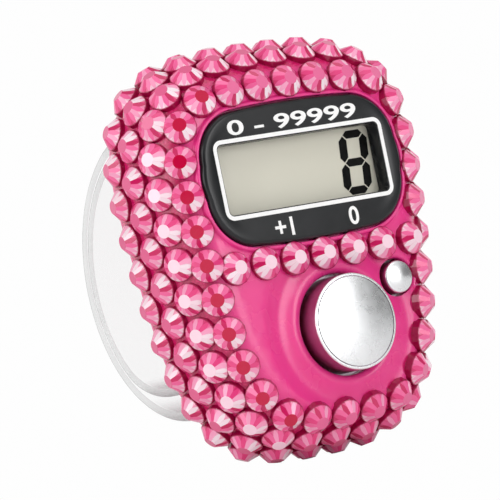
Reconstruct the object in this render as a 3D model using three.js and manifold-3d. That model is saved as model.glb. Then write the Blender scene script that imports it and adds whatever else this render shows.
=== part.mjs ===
// Digital finger tally counter, in millimetres.
// While it is built, the face of the body is the plane y = 0 and looks towards -y, depth runs
// towards +y, and the lowest point of the body's wall is z = 0. The last lines move the whole
// object so that its origin is under the middle of its bounding box.

import * as THREE from 'three';
import { mergeVertices } from 'three/addons/utils/BufferGeometryUtils.js';
import Module from 'manifold-3d';

const wasm = await Module();
wasm.setup();

// Body outline: an oval box that narrows towards the bottom
const bodyHalfWidth = 15.7;
const bodyHalfHeight = 20.6;
const bodySquareness = 3.4;
const bodyTaper = 0.14;
const bodyDepth = 12.2;
const sideWall = 1.7;
const faceWall = 1.9;
const innerEdgeRadius = 1.8;

// The rounded edge runs in an oval from the flat face to the widest part of the body.
// Each inset is how far it reaches in over the face, each depth how far it reaches back.
const topInset = 4.6;
const topEdgeDepth = 7.5;
const sideInset = 4.7;
const sideEdgeDepth = 6.7;
const bottomInset = 4.9;
const bottomEdgeDepth = 6.5;
const backInset = 1.6;

// Back cover
const coverThickness = 1.4;
const lipDepth = 0.9;
const lipThickness = 1.0;
const lipClearance = 0.15;

// Rhinestones
const stoneDiameter = 3.5;
const stoneHeight = 1.35;
const stoneTableShare = 0.42;
const stoneSink = 0.5;
const stoneSpread = 0.95;
const stoneSides = 6;
const firstRowStones = 30;
const firstRowPhase = 0.06;
const rowStones = 34;
const rowPhase = 0.13;
const rowDepths = [0.75, 2.9, 5.7, 9.0];
const rowLift = 0.7;
const dividerStones = 7;
const dividerPitch = 3.7;
const dividerMiddle = 0.65;
const dividerHeight = 19.05;
const nearestStone = 2.6;

// Bezel, window and display
const bezelWidth = 24.2;
const bezelHeight = 14.0;
const bezelCorner = 5.2;
const bezelBulge = 0.5;
const bezelMiddle = 27.95;
const bezelProud = 0.7;
const bezelSeat = 0.5;
const bezelBevel = 0.3;
const bezelClearance = 0.15;
const bezelLipWidth = 0.45;
const bezelLipProud = 0.35;
const windowWidth = 20.1;
const windowHeight = 7.2;
const windowCorner = 0.5;
const skirtWall = 0.75;
const skirtEnd = 1.2;
const lensThickness = 0.7;
const lensFront = 0.5;
const displayWidth = 23.4;
const displayHeight = 10.8;
const displayFront = 1.3;
const displayPocketClearance = 0.4;
const polariserThickness = 0.2;
const glassThickness = 0.65;
const contactLedge = 1.3;
const connectorClearance = 0.1;
const connectorShorter = 3.0;
const holderWall = 1.6;

// Circuit board and what is on it
const boardThickness = 0.8;
const boardSideRoom = 2.4;
const boardRoom = 0.4;
const boardBottom = 3.4;
const boardNeckHalfWidth = 8.0;
const chipRadius = 2.5;
const chipHeight = 0.9;
const chipMiddle = 30.4;
const capacitorWidth = 2.0;
const capacitorHeight = 1.2;
const capacitorThickness = 1.0;
const capacitorMiddle = { x: -6.5, z: 9.6 };

// Buttons and their switches
const buttonX = 1.6;
const buttonZ = 11.55;
const buttonRadius = 5.0;
const buttonProud = 2.0;
const buttonDome = 0.35;
const buttonTravel = 0.6;
const resetX = 9.2;
const resetZ = 15.3;
const resetRadius = 1.7;
const resetProud = 0.45;
const resetDome = 0.3;
const buttonClearance = 0.3;
const flangeWidth = 0.75;
const flangeGap = 0.1;
const flangeThickness = 0.6;
const stemRadius = 1.2;
const plungerGap = 0.1;
const plungerProud = 0.65;
const switchGap = 0.7;
const countSwitchSize = 4.5;
const countPlungerRadius = 0.9;
const resetSwitchSize = 3.5;
const resetPlungerRadius = 0.7;
const dishRadius = 9.7;
const dishCrest = 6.3;
const dishDepth = 0.4;
const wellRounding = 0.7;

// Band round the finger
const bandInset = 4.8;
const bandBehind = 3.7;
const bandRise = 0.1;
const bandWidth = 17.6;
const strapThickness = 0.95;
const strapGap = 0.15;
const innerStrapLeaves = -42;
const innerStrapEnd = -105;
const innerStrapCurl = 0.06;
const outerStrapEnd = 98;
const rootClearance = 0.15;
const footHeight = 2.4;
const footDepth = 1.4;
const footNarrower = 1.8;
const neckThicker = 0.3;
const studAngle = -15.3;
const studRadius = 0.9;
const studHoleClearance = 0.15;
const studHeadRadius = 1.7;
const studHeadHeight = 0.6;

// Cell, battery door and contacts
const cellDiameter = 11.6;
const cellThickness = 3.1;
const cellMiddle = 21.5;
const cellClearance = 0.4;
const cellRoom = 0.1;
const contactThickness = 0.4;
const contactWidth = 6.0;
const contactHeight = 2.4;
const doorThickness = 1.0;
const doorWidth = 15.0;
const doorTop = 29.2;
const doorBottom = 11.4;
const doorCorner = 1.2;
const doorClearance = 0.15;

// Screws
const postRadius = 1.7;
const topPostInset = { x: 4.9, z: 6.1 };
const bottomPostInset = { x: 5.4, z: 10.6 };
const screwHeadRadius = 1.5;
const screwHeadHeight = 0.8;
const screwShankRadius = 0.75;
const screwLength = 5.0;
const screwSlotWidth = 0.35;
const screwSlotDepth = 0.35;
const screwClearance = 0.15;
const boardPostRadius = 1.4;
const boardScrewLength = 3.0;
const boardScrewHead = 0.7;
const boardPostInset = 1.8;
const boardPostLeftZ = 16.6;
const boardPostRightZ = 19.9;
const doorScrewLength = 2.0;
const doorScrewZ = 13.0;

// Sizes that follow from those above
const coverFront = bodyDepth - coverThickness;
const doorFront = bodyDepth - doorThickness;
const cellFront = doorFront - cellRoom - cellThickness;
const boardBack = cellFront - contactThickness;
const boardFront = boardBack - boardThickness;
const boardHalfWidth = bodyHalfWidth - sideWall - boardSideRoom;
const boardPostLeft = { x: boardPostInset - boardHalfWidth, z: boardPostLeftZ };
const boardPostRight = { x: boardHalfWidth - boardPostInset, z: boardPostRightZ };
const topPostX = bodyHalfWidth - topPostInset.x;
const topPostZ = 2 * bodyHalfHeight - topPostInset.z;
const bottomPostX = bodyHalfWidth - bottomPostInset.x;
const bottomPostZ = bottomPostInset.z;
const boardNeckTop = bottomPostZ + postRadius + boardRoom;
const boardTop = topPostZ - postRadius - boardRoom;
const stoneRadius = stoneDiameter / 2;
const bandRadius = bodyHalfHeight - bandInset;
const bandCentreY = bodyDepth + bandBehind;
const bandCentreZ = bodyHalfHeight + bandRise;
const innerStrapRadius = bandRadius - strapThickness - strapGap;
const flangeFront = faceWall + flangeGap;
const postStart = faceWall - 0.3;
const switchFront = flangeFront + flangeThickness + switchGap;
const plungerFront = switchFront - plungerProud;

const group = new THREE.Group();

// Helpers that turn three.js geometry into solids and back

function signedVolume(geometry) {
  const p = geometry.attributes.position;
  const index = geometry.index.array;
  const a = new THREE.Vector3();
  const b = new THREE.Vector3();
  const c = new THREE.Vector3();
  let sum = 0;
  for (let i = 0; i < index.length; i += 3) {
    a.fromBufferAttribute(p, index[i]);
    b.fromBufferAttribute(p, index[i + 1]);
    c.fromBufferAttribute(p, index[i + 2]);
    sum += a.dot(b.cross(c)) / 6;
  }
  return sum;
}

function toSolid(geometry) {
  const bare = geometry.clone();
  bare.deleteAttribute('normal');
  bare.deleteAttribute('uv');
  const merged = mergeVertices(bare, 1e-5);
  const triVerts = Uint32Array.from(merged.index.array);
  if (signedVolume(merged) < 0) {
    for (let i = 0; i < triVerts.length; i += 3) {
      [triVerts[i], triVerts[i + 1]] = [triVerts[i + 1], triVerts[i]];
    }
  }
  const vertProperties = Float32Array.from(merged.attributes.position.array);
  return new wasm.Manifold(new wasm.Mesh({ numProp: 3, vertProperties, triVerts }));
}

function addPart(name, solid, colour, roughness, metalness, opacity = 1) {
  const mesh = solid.getMesh();
  const geometry = new THREE.BufferGeometry();
  geometry.setAttribute('position', new THREE.BufferAttribute(mesh.vertProperties, 3));
  geometry.setIndex(new THREE.BufferAttribute(mesh.triVerts, 1));
  geometry.computeVertexNormals();
  const material = new THREE.MeshStandardMaterial({
    color: colour, roughness, metalness, opacity, transparent: opacity < 1,
  });
  const part = new THREE.Mesh(geometry, material);
  part.name = name;
  group.add(part);
}

const unite = (solids) => solids.reduce((sum, solid) => sum.add(solid));
const cutAll = (solid, tools) => tools.reduce((rest, tool) => rest.subtract(tool), solid);

// A shape drawn in x and z, as a plate from depth y1 to depth y2
function plate(shape, y1, y2, bevel = 0) {
  const geometry = new THREE.ExtrudeGeometry(shape, {
    depth: y2 - y1 - 2 * bevel,
    curveSegments: 4,
    bevelEnabled: bevel > 0,
    bevelThickness: bevel,
    bevelSize: bevel,
    bevelOffset: -bevel,
    bevelSegments: 1,
  });
  geometry.rotateX(Math.PI / 2);
  geometry.translate(0, y2 - bevel, 0);
  return toSolid(geometry);
}

// A shape drawn in y and z, as a strip of the given width across x
function strip(shape, width) {
  const geometry = new THREE.ExtrudeGeometry(shape, { depth: width, bevelEnabled: false });
  geometry.translate(0, 0, -width / 2);
  const turn = new THREE.Matrix4().makeBasis(
    new THREE.Vector3(0, 1, 0), new THREE.Vector3(0, 0, 1), new THREE.Vector3(1, 0, 0));
  geometry.applyMatrix4(turn);
  return toSolid(geometry);
}

// A turned solid on an axis along y, from pairs of radius and depth
function turned(x, z, profile, sides = 32) {
  const points = profile.map(([radius, depth]) => new THREE.Vector2(radius, depth));
  const geometry = new THREE.LatheGeometry(points, sides);
  geometry.translate(x, 0, z);
  return toSolid(geometry);
}

function rod(x, z, radius, y1, y2, sides = 24) {
  return turned(x, z, [[0, y1], [radius, y1], [radius, y2], [0, y2]], sides);
}

function block(x1, x2, y1, y2, z1, z2) {
  const geometry = new THREE.BoxGeometry(x2 - x1, y2 - y1, z2 - z1);
  geometry.translate((x1 + x2) / 2, (y1 + y2) / 2, (z1 + z2) / 2);
  return toSolid(geometry);
}

function rectangle(width, height, middle, corner = 0) {
  const x = width / 2;
  const z = height / 2;
  const shape = new THREE.Shape();
  shape.moveTo(-x + corner, middle - z);
  shape.lineTo(x - corner, middle - z);
  if (corner) shape.absarc(x - corner, middle - z + corner, corner, -Math.PI / 2, 0);
  shape.lineTo(x, middle + z - corner);
  if (corner) shape.absarc(x - corner, middle + z - corner, corner, 0, Math.PI / 2);
  shape.lineTo(-x + corner, middle + z);
  if (corner) shape.absarc(-x + corner, middle + z - corner, corner, Math.PI / 2, Math.PI);
  shape.lineTo(-x, middle - z + corner);
  if (corner) shape.absarc(-x + corner, middle - z + corner, corner, Math.PI, 1.5 * Math.PI);
  return shape;
}

// The body's outline, as a function of the angle clockwise from the top

function rim(angle) {
  const s = Math.sin(angle);
  const c = Math.cos(angle);
  const e = bodySquareness;
  const r = (Math.abs(s / bodyHalfWidth) ** e + Math.abs(c / bodyHalfHeight) ** e) ** (-1 / e);
  const z = r * c;
  return { x: r * s * (1 + bodyTaper * z / bodyHalfHeight), z: bodyHalfHeight + z };
}

function rimNormal(angle) {
  const a = rim(angle - 0.001);
  const b = rim(angle + 0.001);
  const length = Math.hypot(b.x - a.x, b.z - a.z);
  return { x: -(b.z - a.z) / length, z: (b.x - a.x) / length };
}

function rimOffset(angle, offset) {
  const p = rim(angle);
  const n = rimNormal(angle);
  return { x: p.x + n.x * offset, z: p.z + n.z * offset };
}

// How far the rounded edge reaches in over the face, and back, in the direction of an angle
function edgeSize(angle) {
  const n = rimNormal(angle);
  const top = Math.max(0, n.z) ** 2;
  const bottom = Math.max(0, -n.z) ** 2;
  const side = n.x ** 2;
  return {
    inset: topInset * top + sideInset * side + bottomInset * bottom,
    depth: topEdgeDepth * top + sideEdgeDepth * side + bottomEdgeDepth * bottom,
  };
}

// The body's surface at a depth behind the face: its offset from the outline, and its slope
function surface(angle, y) {
  const { inset, depth } = edgeSize(angle);
  if (y < depth) {
    const turn = Math.acos(1 - y / depth);
    return {
      y, offset: -inset * (1 - Math.sin(turn)), out: depth * Math.sin(turn), front: inset * Math.cos(turn),
    };
  }
  const backDepth = bodyDepth - depth;
  const turn = Math.asin(Math.min(1, (y - depth) / backDepth));
  return {
    y, offset: -backInset * (1 - Math.cos(turn)), out: backDepth * Math.cos(turn),
    front: -backInset * Math.sin(turn),
  };
}

// Rows of stones lie a little nearer to the face across the top
function rowDepth(angle, row) {
  return rowDepths[row] - rowLift * Math.max(0, rimNormal(angle).z) ** 2;
}

// The place and direction of a stone in one of the rows
function rowSeat(angle, row) {
  const at = surface(angle, rowDepth(angle, row));
  const p = rimOffset(angle, at.offset);
  const n = rimNormal(angle);
  return {
    place: new THREE.Vector3(p.x, at.y, p.z),
    normal: new THREE.Vector3(n.x * at.out, -at.front, n.z * at.out).normalize(),
  };
}

// Angles that divide a closed path round the body into equal lengths
function evenAngles(path, count, phase) {
  const steps = 720;
  const lengths = [0];
  let last = path(0);
  for (let i = 1; i <= steps; i++) {
    const p = path(i / steps * 2 * Math.PI);
    lengths.push(lengths[i - 1] + Math.hypot(p.x - last.x, p.z - last.z));
    last = p;
  }
  const angles = [];
  let i = 1;
  for (let k = 0; k < count; k++) {
    const wanted = (k + phase % 1) / count * lengths[steps];
    while (lengths[i] < wanted) i++;
    const share = (wanted - lengths[i - 1]) / (lengths[i] - lengths[i - 1]);
    angles.push((i - 1 + share) / steps * 2 * Math.PI);
  }
  return angles;
}

// A solid stacked from levels, each a function that gives the offset and depth at an angle
function stacked(levels) {
  const angles = evenAngles(rim, rowStones, rowPhase + 0.5);
  const positions = [];
  const index = [];
  for (const level of levels) {
    for (const angle of angles) {
      const { offset, y } = level(angle);
      const p = rimOffset(angle, offset);
      positions.push(p.x, y, p.z);
    }
  }
  for (let j = 0; j < levels.length - 1; j++) {
    for (let i = 0; i < rowStones; i++) {
      const a = j * rowStones + i;
      const b = j * rowStones + (i + 1) % rowStones;
      index.push(a, b, a + rowStones, b, b + rowStones, a + rowStones);
    }
  }
  const front = positions.length / 3;
  positions.push(0, levels[0](0).y, bodyHalfHeight);
  positions.push(0, levels[levels.length - 1](0).y, bodyHalfHeight);
  const lastRing = (levels.length - 1) * rowStones;
  for (let i = 0; i < rowStones; i++) {
    const next = (i + 1) % rowStones;
    index.push(front, next, i, front + 1, lastRing + i, lastRing + next);
  }
  const geometry = new THREE.BufferGeometry();
  geometry.setAttribute('position', new THREE.Float32BufferAttribute(positions, 3));
  geometry.setIndex(index);
  return toSolid(geometry);
}

const flatLevel = (offset, y) => () => ({ offset, y });
const surfaceLevel = (depthAt) => (angle) => surface(angle, depthAt(angle));

// The outer wall has a crease halfway between two rows of stones, so each stone has a flat seat
function outerWall() {
  const between = (row) => (angle) => (rowDepth(angle, row) + rowDepth(angle, row + 1)) / 2;
  const creases = [
    () => 0, (angle) => rowDepth(angle, 0) / 5, between(0), between(1), between(2), () => coverFront,
  ];
  return stacked(creases.map(surfaceLevel));
}

// The room inside the shell, with a rounded front edge
function innerRoom() {
  const levels = [0, 0.5, 1].map((share) => {
    const turn = share * Math.PI / 2;
    return flatLevel(-sideWall - innerEdgeRadius * (1 - Math.sin(turn)),
      faceWall + innerEdgeRadius * (1 - Math.cos(turn)));
  });
  return stacked([...levels, flatLevel(-sideWall, coverFront + 1)]);
}

// Round flat-backed stone: a sloping crown and a flat table
function stone({ place, normal }) {
  const table = stoneRadius * stoneTableShare;
  const profile = [
    [0, -stoneSink], [stoneRadius * stoneSpread, -stoneSink],
    [table, stoneHeight], [0, stoneHeight],
  ].map(([radius, height]) => new THREE.Vector2(radius, height));
  const geometry = new THREE.LatheGeometry(profile, stoneSides);
  const turn = new THREE.Quaternion().setFromUnitVectors(new THREE.Vector3(0, 1, 0), normal);
  geometry.applyQuaternion(turn);
  geometry.translate(place.x, place.y, place.z);
  return toSolid(geometry);
}

// A stone of the row across the face, whose last stone lies on the rounded edge
function dividerSeat(x) {
  const angle = Math.atan2(Math.sign(x) * bodyHalfWidth, dividerHeight - bodyHalfHeight);
  const { inset, depth } = edgeSize(angle);
  const reach = Math.max(0, Math.abs(x) - Math.abs(rim(angle).x) + inset) / inset;
  const rest = Math.sqrt(1 - reach ** 2);
  return {
    place: new THREE.Vector3(x, depth * (1 - rest), dividerHeight),
    normal: new THREE.Vector3(Math.sign(x) * depth * reach, -inset * rest, 0).normalize(),
  };
}

// The first row leaves out the stone that the row across the face takes the place of
function stoneSeats() {
  const seats = [];
  for (let i = 0; i < dividerStones; i++) {
    seats.push(dividerSeat(dividerMiddle + (i - (dividerStones - 1) / 2) * dividerPitch));
  }
  const across = seats.map((seat) => seat.place);
  const firstRow = (angle) => rowSeat(angle, 0).place;
  for (const angle of evenAngles(firstRow, firstRowStones, firstRowPhase)) {
    const seat = rowSeat(angle, 0);
    if (across.every((place) => place.distanceTo(seat.place) > nearestStone)) seats.push(seat);
  }
  for (let row = 1; row < rowDepths.length; row++) {
    const phase = rowPhase + (row % 2 ? 0 : 0.5);
    for (const angle of evenAngles(rim, rowStones, phase)) seats.push(rowSeat(angle, row));
  }
  return seats;
}

// The bezel's outline: a rounded rectangle whose sides swell a little
function bezelShape(grow) {
  const x = bezelWidth / 2 + grow;
  const z = bezelHeight / 2 + grow;
  const r = bezelCorner + grow;
  const swell = bezelBulge;
  const shape = new THREE.Shape();
  shape.moveTo(-x + r, bezelMiddle - z);
  shape.quadraticCurveTo(0, bezelMiddle - z - swell, x - r, bezelMiddle - z);
  shape.absarc(x - r, bezelMiddle - z + r, r, -Math.PI / 2, 0);
  shape.quadraticCurveTo(x + swell, bezelMiddle, x, bezelMiddle + z - r);
  shape.absarc(x - r, bezelMiddle + z - r, r, 0, Math.PI / 2);
  shape.quadraticCurveTo(0, bezelMiddle + z + swell, -x + r, bezelMiddle + z);
  shape.absarc(-x + r, bezelMiddle + z - r, r, Math.PI / 2, Math.PI);
  shape.quadraticCurveTo(-x - swell, bezelMiddle, -x, bezelMiddle - z + r);
  shape.absarc(-x + r, bezelMiddle - z + r, r, Math.PI, 1.5 * Math.PI);
  return shape;
}

// A hole for a button with a softly rounded mouth
function buttonWell(x, z, radius, rounding, sides) {
  const profile = [[0, -1], [radius + rounding, -1], [radius + rounding, 0]];
  const steps = 3;
  for (let i = 1; i <= steps; i++) {
    const turn = i / steps * Math.PI / 2;
    profile.push([radius + rounding * (1 - Math.sin(turn)), rounding * (1 - Math.cos(turn))]);
  }
  profile.push([radius, faceWall + 1], [0, faceWall + 1]);
  return turned(x, z, profile, sides);
}

// The shallow round dish in the face about the count button
function dish() {
  const middle = (dishCrest + dishRadius) / 2;
  const half = (dishRadius - dishCrest) / 2;
  const steps = 4;
  const ring = [[dishRadius, -1]];
  for (let i = 0; i <= steps; i++) {
    const turn = i / steps * Math.PI;
    ring.push([middle + half * Math.cos(turn), dishDepth * Math.sin(turn)]);
  }
  ring.push([dishCrest, -1], [dishRadius, -1]);
  return turned(buttonX, buttonZ, ring, 28);
}

function coverPosts() {
  return [
    { x: -topPostX, z: topPostZ }, { x: topPostX, z: topPostZ },
    { x: -bottomPostX, z: bottomPostZ }, { x: bottomPostX, z: bottomPostZ },
  ];
}

function frontShell() {
  const lip = plate(bezelShape(bezelClearance + bezelLipWidth), -bezelLipProud, faceWall - 0.2);
  let shell = outerWall().add(lip).subtract(innerRoom());
  for (const post of coverPosts()) {
    shell = shell.add(rod(post.x, post.z, postRadius, postStart, coverFront, 16));
  }
  for (const post of [boardPostLeft, boardPostRight]) {
    shell = shell.add(rod(post.x, post.z, boardPostRadius, postStart, boardFront, 16));
  }
  const pocketWidth = displayWidth + 2 * displayPocketClearance;
  const pocketHeight = displayHeight + 2 * displayPocketClearance;
  const cuts = [
    plate(bezelShape(bezelClearance), -3, bezelSeat),
    plate(rectangle(
      windowWidth + 2 * (skirtWall + bezelClearance), windowHeight + 2 * (skirtWall + bezelClearance),
      bezelMiddle), 0, faceWall + 1),
    plate(rectangle(pocketWidth, pocketHeight, bezelMiddle), displayFront - 0.05, faceWall + 0.5),
    dish(),
    buttonWell(buttonX, buttonZ, buttonRadius + buttonClearance, wellRounding, 28),
    buttonWell(resetX, resetZ, resetRadius + buttonClearance, wellRounding / 2, 16),
  ];
  const pilot = screwShankRadius + screwClearance;
  for (const post of coverPosts()) {
    cuts.push(rod(post.x, post.z, pilot, coverFront - screwLength, coverFront + 1, 12));
  }
  for (const post of [boardPostLeft, boardPostRight]) {
    cuts.push(rod(post.x, post.z, pilot, boardBack - boardScrewLength, boardFront + 1, 12));
  }
  const bezelRoom = plate(bezelShape(bezelClearance), -3, bezelSeat);
  const stones = unite(stoneSeats().map(stone)).subtract(bezelRoom);
  return cutAll(shell, cuts).add(stones);
}

function bezel() {
  const front = plate(bezelShape(0), -bezelProud, bezelSeat, bezelBevel);
  const skirt = plate(rectangle(
    windowWidth + 2 * skirtWall, windowHeight + 2 * skirtWall, bezelMiddle), 0, skirtEnd);
  const opening = plate(rectangle(windowWidth, windowHeight, bezelMiddle, windowCorner), -3, skirtEnd + 1);
  return front.add(skirt).subtract(opening);
}

function lens() {
  const gap = 0.1;
  return plate(rectangle(windowWidth - 2 * gap, windowHeight - 2 * gap, bezelMiddle, windowCorner),
    lensFront, lensFront + lensThickness);
}

function displayPlate(width, bottom, top, y1, y2) {
  return block(-width / 2, width / 2, y1, y2, bottom, top);
}

function addDisplay() {
  const bottom = bezelMiddle - displayHeight / 2;
  const top = bezelMiddle + displayHeight / 2;
  const glass1 = displayFront + polariserThickness;
  const glass2 = glass1 + glassThickness;
  const reflector = glass2 + glassThickness;
  const holder = reflector + polariserThickness;
  const inset = 0.5;
  addPart('front_polariser', displayPlate(displayWidth - 2 * inset, bottom + inset, top - inset,
    displayFront, glass1), 0xc9c8bb, 0.35, 0);
  addPart('display_front_glass', displayPlate(displayWidth, bottom, top, glass1, glass2),
    0xc4c8c2, 0.1, 0);
  addPart('display_rear_glass', displayPlate(displayWidth, bottom + contactLedge, top, glass2, reflector),
    0xc4c8c2, 0.1, 0);
  addPart('display_reflector', displayPlate(displayWidth - 2 * inset, bottom + contactLedge + inset,
    top - inset, reflector, holder), 0xb9bab0, 0.4, 0.3);
  const foot = bottom + contactLedge + 2 * connectorClearance;
  const frame = displayPlate(displayWidth, foot, top, holder, boardFront);
  const middle = displayPlate(displayWidth - 2 * holderWall, foot + holderWall, top - holderWall,
    holder - 1, boardFront + 1);
  addPart('display_holder', frame.subtract(middle), 0xe8e6e0, 0.6, 0);
  addPart('connector_strip', displayPlate(displayWidth - connectorShorter, bottom + connectorClearance,
    bottom + contactLedge - connectorClearance, glass2, boardFront), 0xd98aa0, 0.7, 0);
}

// Circuit board with a narrower lower end that passes between the screw posts
function boardShape() {
  const shape = new THREE.Shape();
  shape.moveTo(-boardNeckHalfWidth, boardBottom);
  shape.lineTo(boardNeckHalfWidth, boardBottom);
  shape.lineTo(boardNeckHalfWidth, boardNeckTop);
  shape.lineTo(boardHalfWidth, boardNeckTop);
  shape.lineTo(boardHalfWidth, boardTop);
  shape.lineTo(-boardHalfWidth, boardTop);
  shape.lineTo(-boardHalfWidth, boardNeckTop);
  shape.lineTo(-boardNeckHalfWidth, boardNeckTop);
  return shape;
}

function board() {
  const holes = [boardPostLeft, boardPostRight].map((post) =>
    rod(post.x, post.z, screwShankRadius + screwClearance, boardFront - 1, boardBack + 1, 12));
  return cutAll(plate(boardShape(), boardFront, boardBack), holes);
}

// Drop of hard resin over the counting chip, on the back of the board
function chip() {
  const profile = [[0, boardBack], [chipRadius, boardBack]];
  const steps = 4;
  for (let i = 1; i < steps; i++) {
    const turn = i / steps * Math.PI / 2;
    profile.push([chipRadius * Math.cos(turn), boardBack + chipHeight * Math.sin(turn)]);
  }
  profile.push([0, boardBack + chipHeight]);
  return turned(0, chipMiddle, profile, 20);
}

function capacitor() {
  const { x, z } = capacitorMiddle;
  return block(x - capacitorWidth / 2, x + capacitorWidth / 2, boardBack, boardBack + capacitorThickness,
    z - capacitorHeight / 2, z + capacitorHeight / 2);
}

// A chromed button: domed top, bright rim, groove, side wall, flange, hollow underside and stem
function buttonCap(x, z, radius, proud, dome, grooved) {
  const rimWidth = radius * 0.09;
  const steps = 3;
  const profile = [[0, -proud - dome]];
  for (let i = 1; i <= steps; i++) {
    const share = i / steps;
    profile.push([(radius - rimWidth) * share, -proud - dome * (1 - share * share)]);
  }
  if (grooved) profile.push([radius - rimWidth * 0.8, -proud + 0.15]);
  if (grooved) profile.push([radius - rimWidth * 0.6, -proud]);
  profile.push([radius - 0.15, -proud], [radius, -proud + 0.15]);
  profile.push([radius, flangeFront], [radius + flangeWidth, flangeFront]);
  profile.push([radius + flangeWidth, flangeFront + flangeThickness]);
  if (radius > 2 * stemRadius) {
    const roof = flangeFront - 1.2;
    profile.push([radius - 1.2, flangeFront + flangeThickness], [radius - 1.2, roof]);
    profile.push([stemRadius, roof]);
  }
  const stem = Math.min(stemRadius, radius * 0.6);
  if (radius <= 2 * stemRadius) profile.push([stem, flangeFront + flangeThickness]);
  profile.push([stem, plungerFront - plungerGap], [0, plungerFront - plungerGap]);
  return turned(x, z, profile, grooved ? 28 : 16);
}

function addSwitch(name, x, z, size, plungerRadius, travel) {
  const boreDepth = boardFront - switchFront - 0.3;
  const half = size / 2;
  const bore = rod(x, z, plungerRadius + 0.1, switchFront - 1, switchFront + boreDepth, 16);
  const body = block(x - half, x + half, switchFront, boardFront, z - half, z + half).subtract(bore);
  const plungerEnd = switchFront + boreDepth - travel - 0.1;
  addPart(`${name}_switch_body`, body, 0x26282b, 0.5, 0);
  addPart(`${name}_switch_plunger`, rod(x, z, plungerRadius, plungerFront, plungerEnd, 16),
    0xe6e4de, 0.5, 0);
}

// A point of a strap: radius and angle above the rear, seen from the finger hole's middle
function bandPoint(radius, degrees) {
  const angle = THREE.MathUtils.degToRad(degrees);
  return [bandCentreY + radius * Math.cos(angle), bandCentreZ + radius * Math.sin(angle)];
}

// How far the inner strap has curled in from the circle, at an angle
function curl(degrees) {
  const past = Math.max(0, innerStrapLeaves - degrees);
  return innerStrapCurl * (Math.hypot(past, 12) - 12);
}

// The angle at which a circle of the band meets the back of the body
function rootAngle(radius) {
  return THREE.MathUtils.radToDeg(Math.acos((bodyDepth + 0.3 - bandCentreY) / radius));
}

function bandShape(outerRadius, from, to, inward) {
  const steps = 30;
  const outer = [];
  const inner = [];
  for (let i = 0; i <= steps; i++) {
    const degrees = from + (to - from) * i / steps;
    const pull = inward(degrees);
    outer.push(bandPoint(outerRadius - pull, degrees));
    inner.unshift(bandPoint(outerRadius - pull - strapThickness, degrees));
  }
  return new THREE.Shape([...outer, ...inner].map(([y, z]) => new THREE.Vector2(y, z)));
}

// Where a strap passes through the back cover: its height there, halfway through its thickness
function rootHeight(outerRadius, side) {
  const middle = outerRadius - strapThickness / 2;
  return bandPoint(middle, side * rootAngle(middle))[1];
}

// The part of a strap inside the body: a neck through the cover's slot and a foot behind it
function strapRoot(outerRadius, side) {
  const half = bandWidth / 2;
  const footHalf = half - footNarrower / 2;
  const z = rootHeight(outerRadius, side);
  const neck = (strapThickness + neckThicker) / 2;
  const foot = coverFront - rootClearance;
  return unite([
    block(-half, half, foot - 0.5, bodyDepth + 0.7, z - neck, z + neck),
    block(-footHalf, footHalf, foot - footDepth, foot, z - footHeight / 2, z + footHeight / 2),
  ]);
}

function studAxis() {
  const angle = THREE.MathUtils.degToRad(studAngle);
  return new THREE.Vector3(0, Math.cos(angle), Math.sin(angle));
}

// Turned solid on the stud's axis; heights are radii from the middle of the finger hole
function onStudAxis(profile, sides) {
  const points = profile.map(([radius, height]) => new THREE.Vector2(radius, height));
  const geometry = new THREE.LatheGeometry(points, sides);
  const turn = new THREE.Quaternion().setFromUnitVectors(new THREE.Vector3(0, 1, 0), studAxis());
  geometry.applyQuaternion(turn);
  geometry.translate(0, bandCentreY, bandCentreZ);
  return toSolid(geometry);
}

function studHole() {
  const r = studRadius + studHoleClearance;
  return onStudAxis([[0, 10], [r, 10], [r, 20], [0, 20]], 16);
}

function stud() {
  const inside = innerStrapRadius - strapThickness - 0.25;
  const outside = bandRadius + 0.1;
  return onStudAxis([
    [0, inside - studHeadHeight], [studHeadRadius * 0.7, inside - studHeadHeight * 0.85],
    [studHeadRadius, inside - 0.15], [studHeadRadius, inside], [studRadius, inside],
    [studRadius, outside], [studHeadRadius * 0.85, outside], [studHeadRadius * 0.75, outside + 0.3],
    [0, outside + 0.35],
  ], 16);
}

function outerStrap() {
  const start = -rootAngle(bandRadius - strapThickness / 2);
  const band = strip(bandShape(bandRadius, start, outerStrapEnd, () => 0), bandWidth);
  return band.add(strapRoot(bandRadius, -1)).subtract(studHole());
}

function innerStrap() {
  const start = rootAngle(innerStrapRadius - strapThickness / 2);
  const band = strip(bandShape(innerStrapRadius, start, innerStrapEnd, curl), bandWidth);
  return band.add(strapRoot(innerStrapRadius, 1)).subtract(studHole());
}

function strapSlot(outerRadius, side) {
  const half = bandWidth / 2 + rootClearance;
  const z = rootHeight(outerRadius, side);
  const reach = (strapThickness + neckThicker) / 2 + rootClearance;
  return block(-half, half, coverFront - 3, bodyDepth + 1, z - reach, z + reach);
}

function doorShape(grow) {
  return rectangle(doorWidth + 2 * grow, doorTop - doorBottom + 2 * grow, (doorTop + doorBottom) / 2,
    doorCorner + grow);
}

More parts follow.
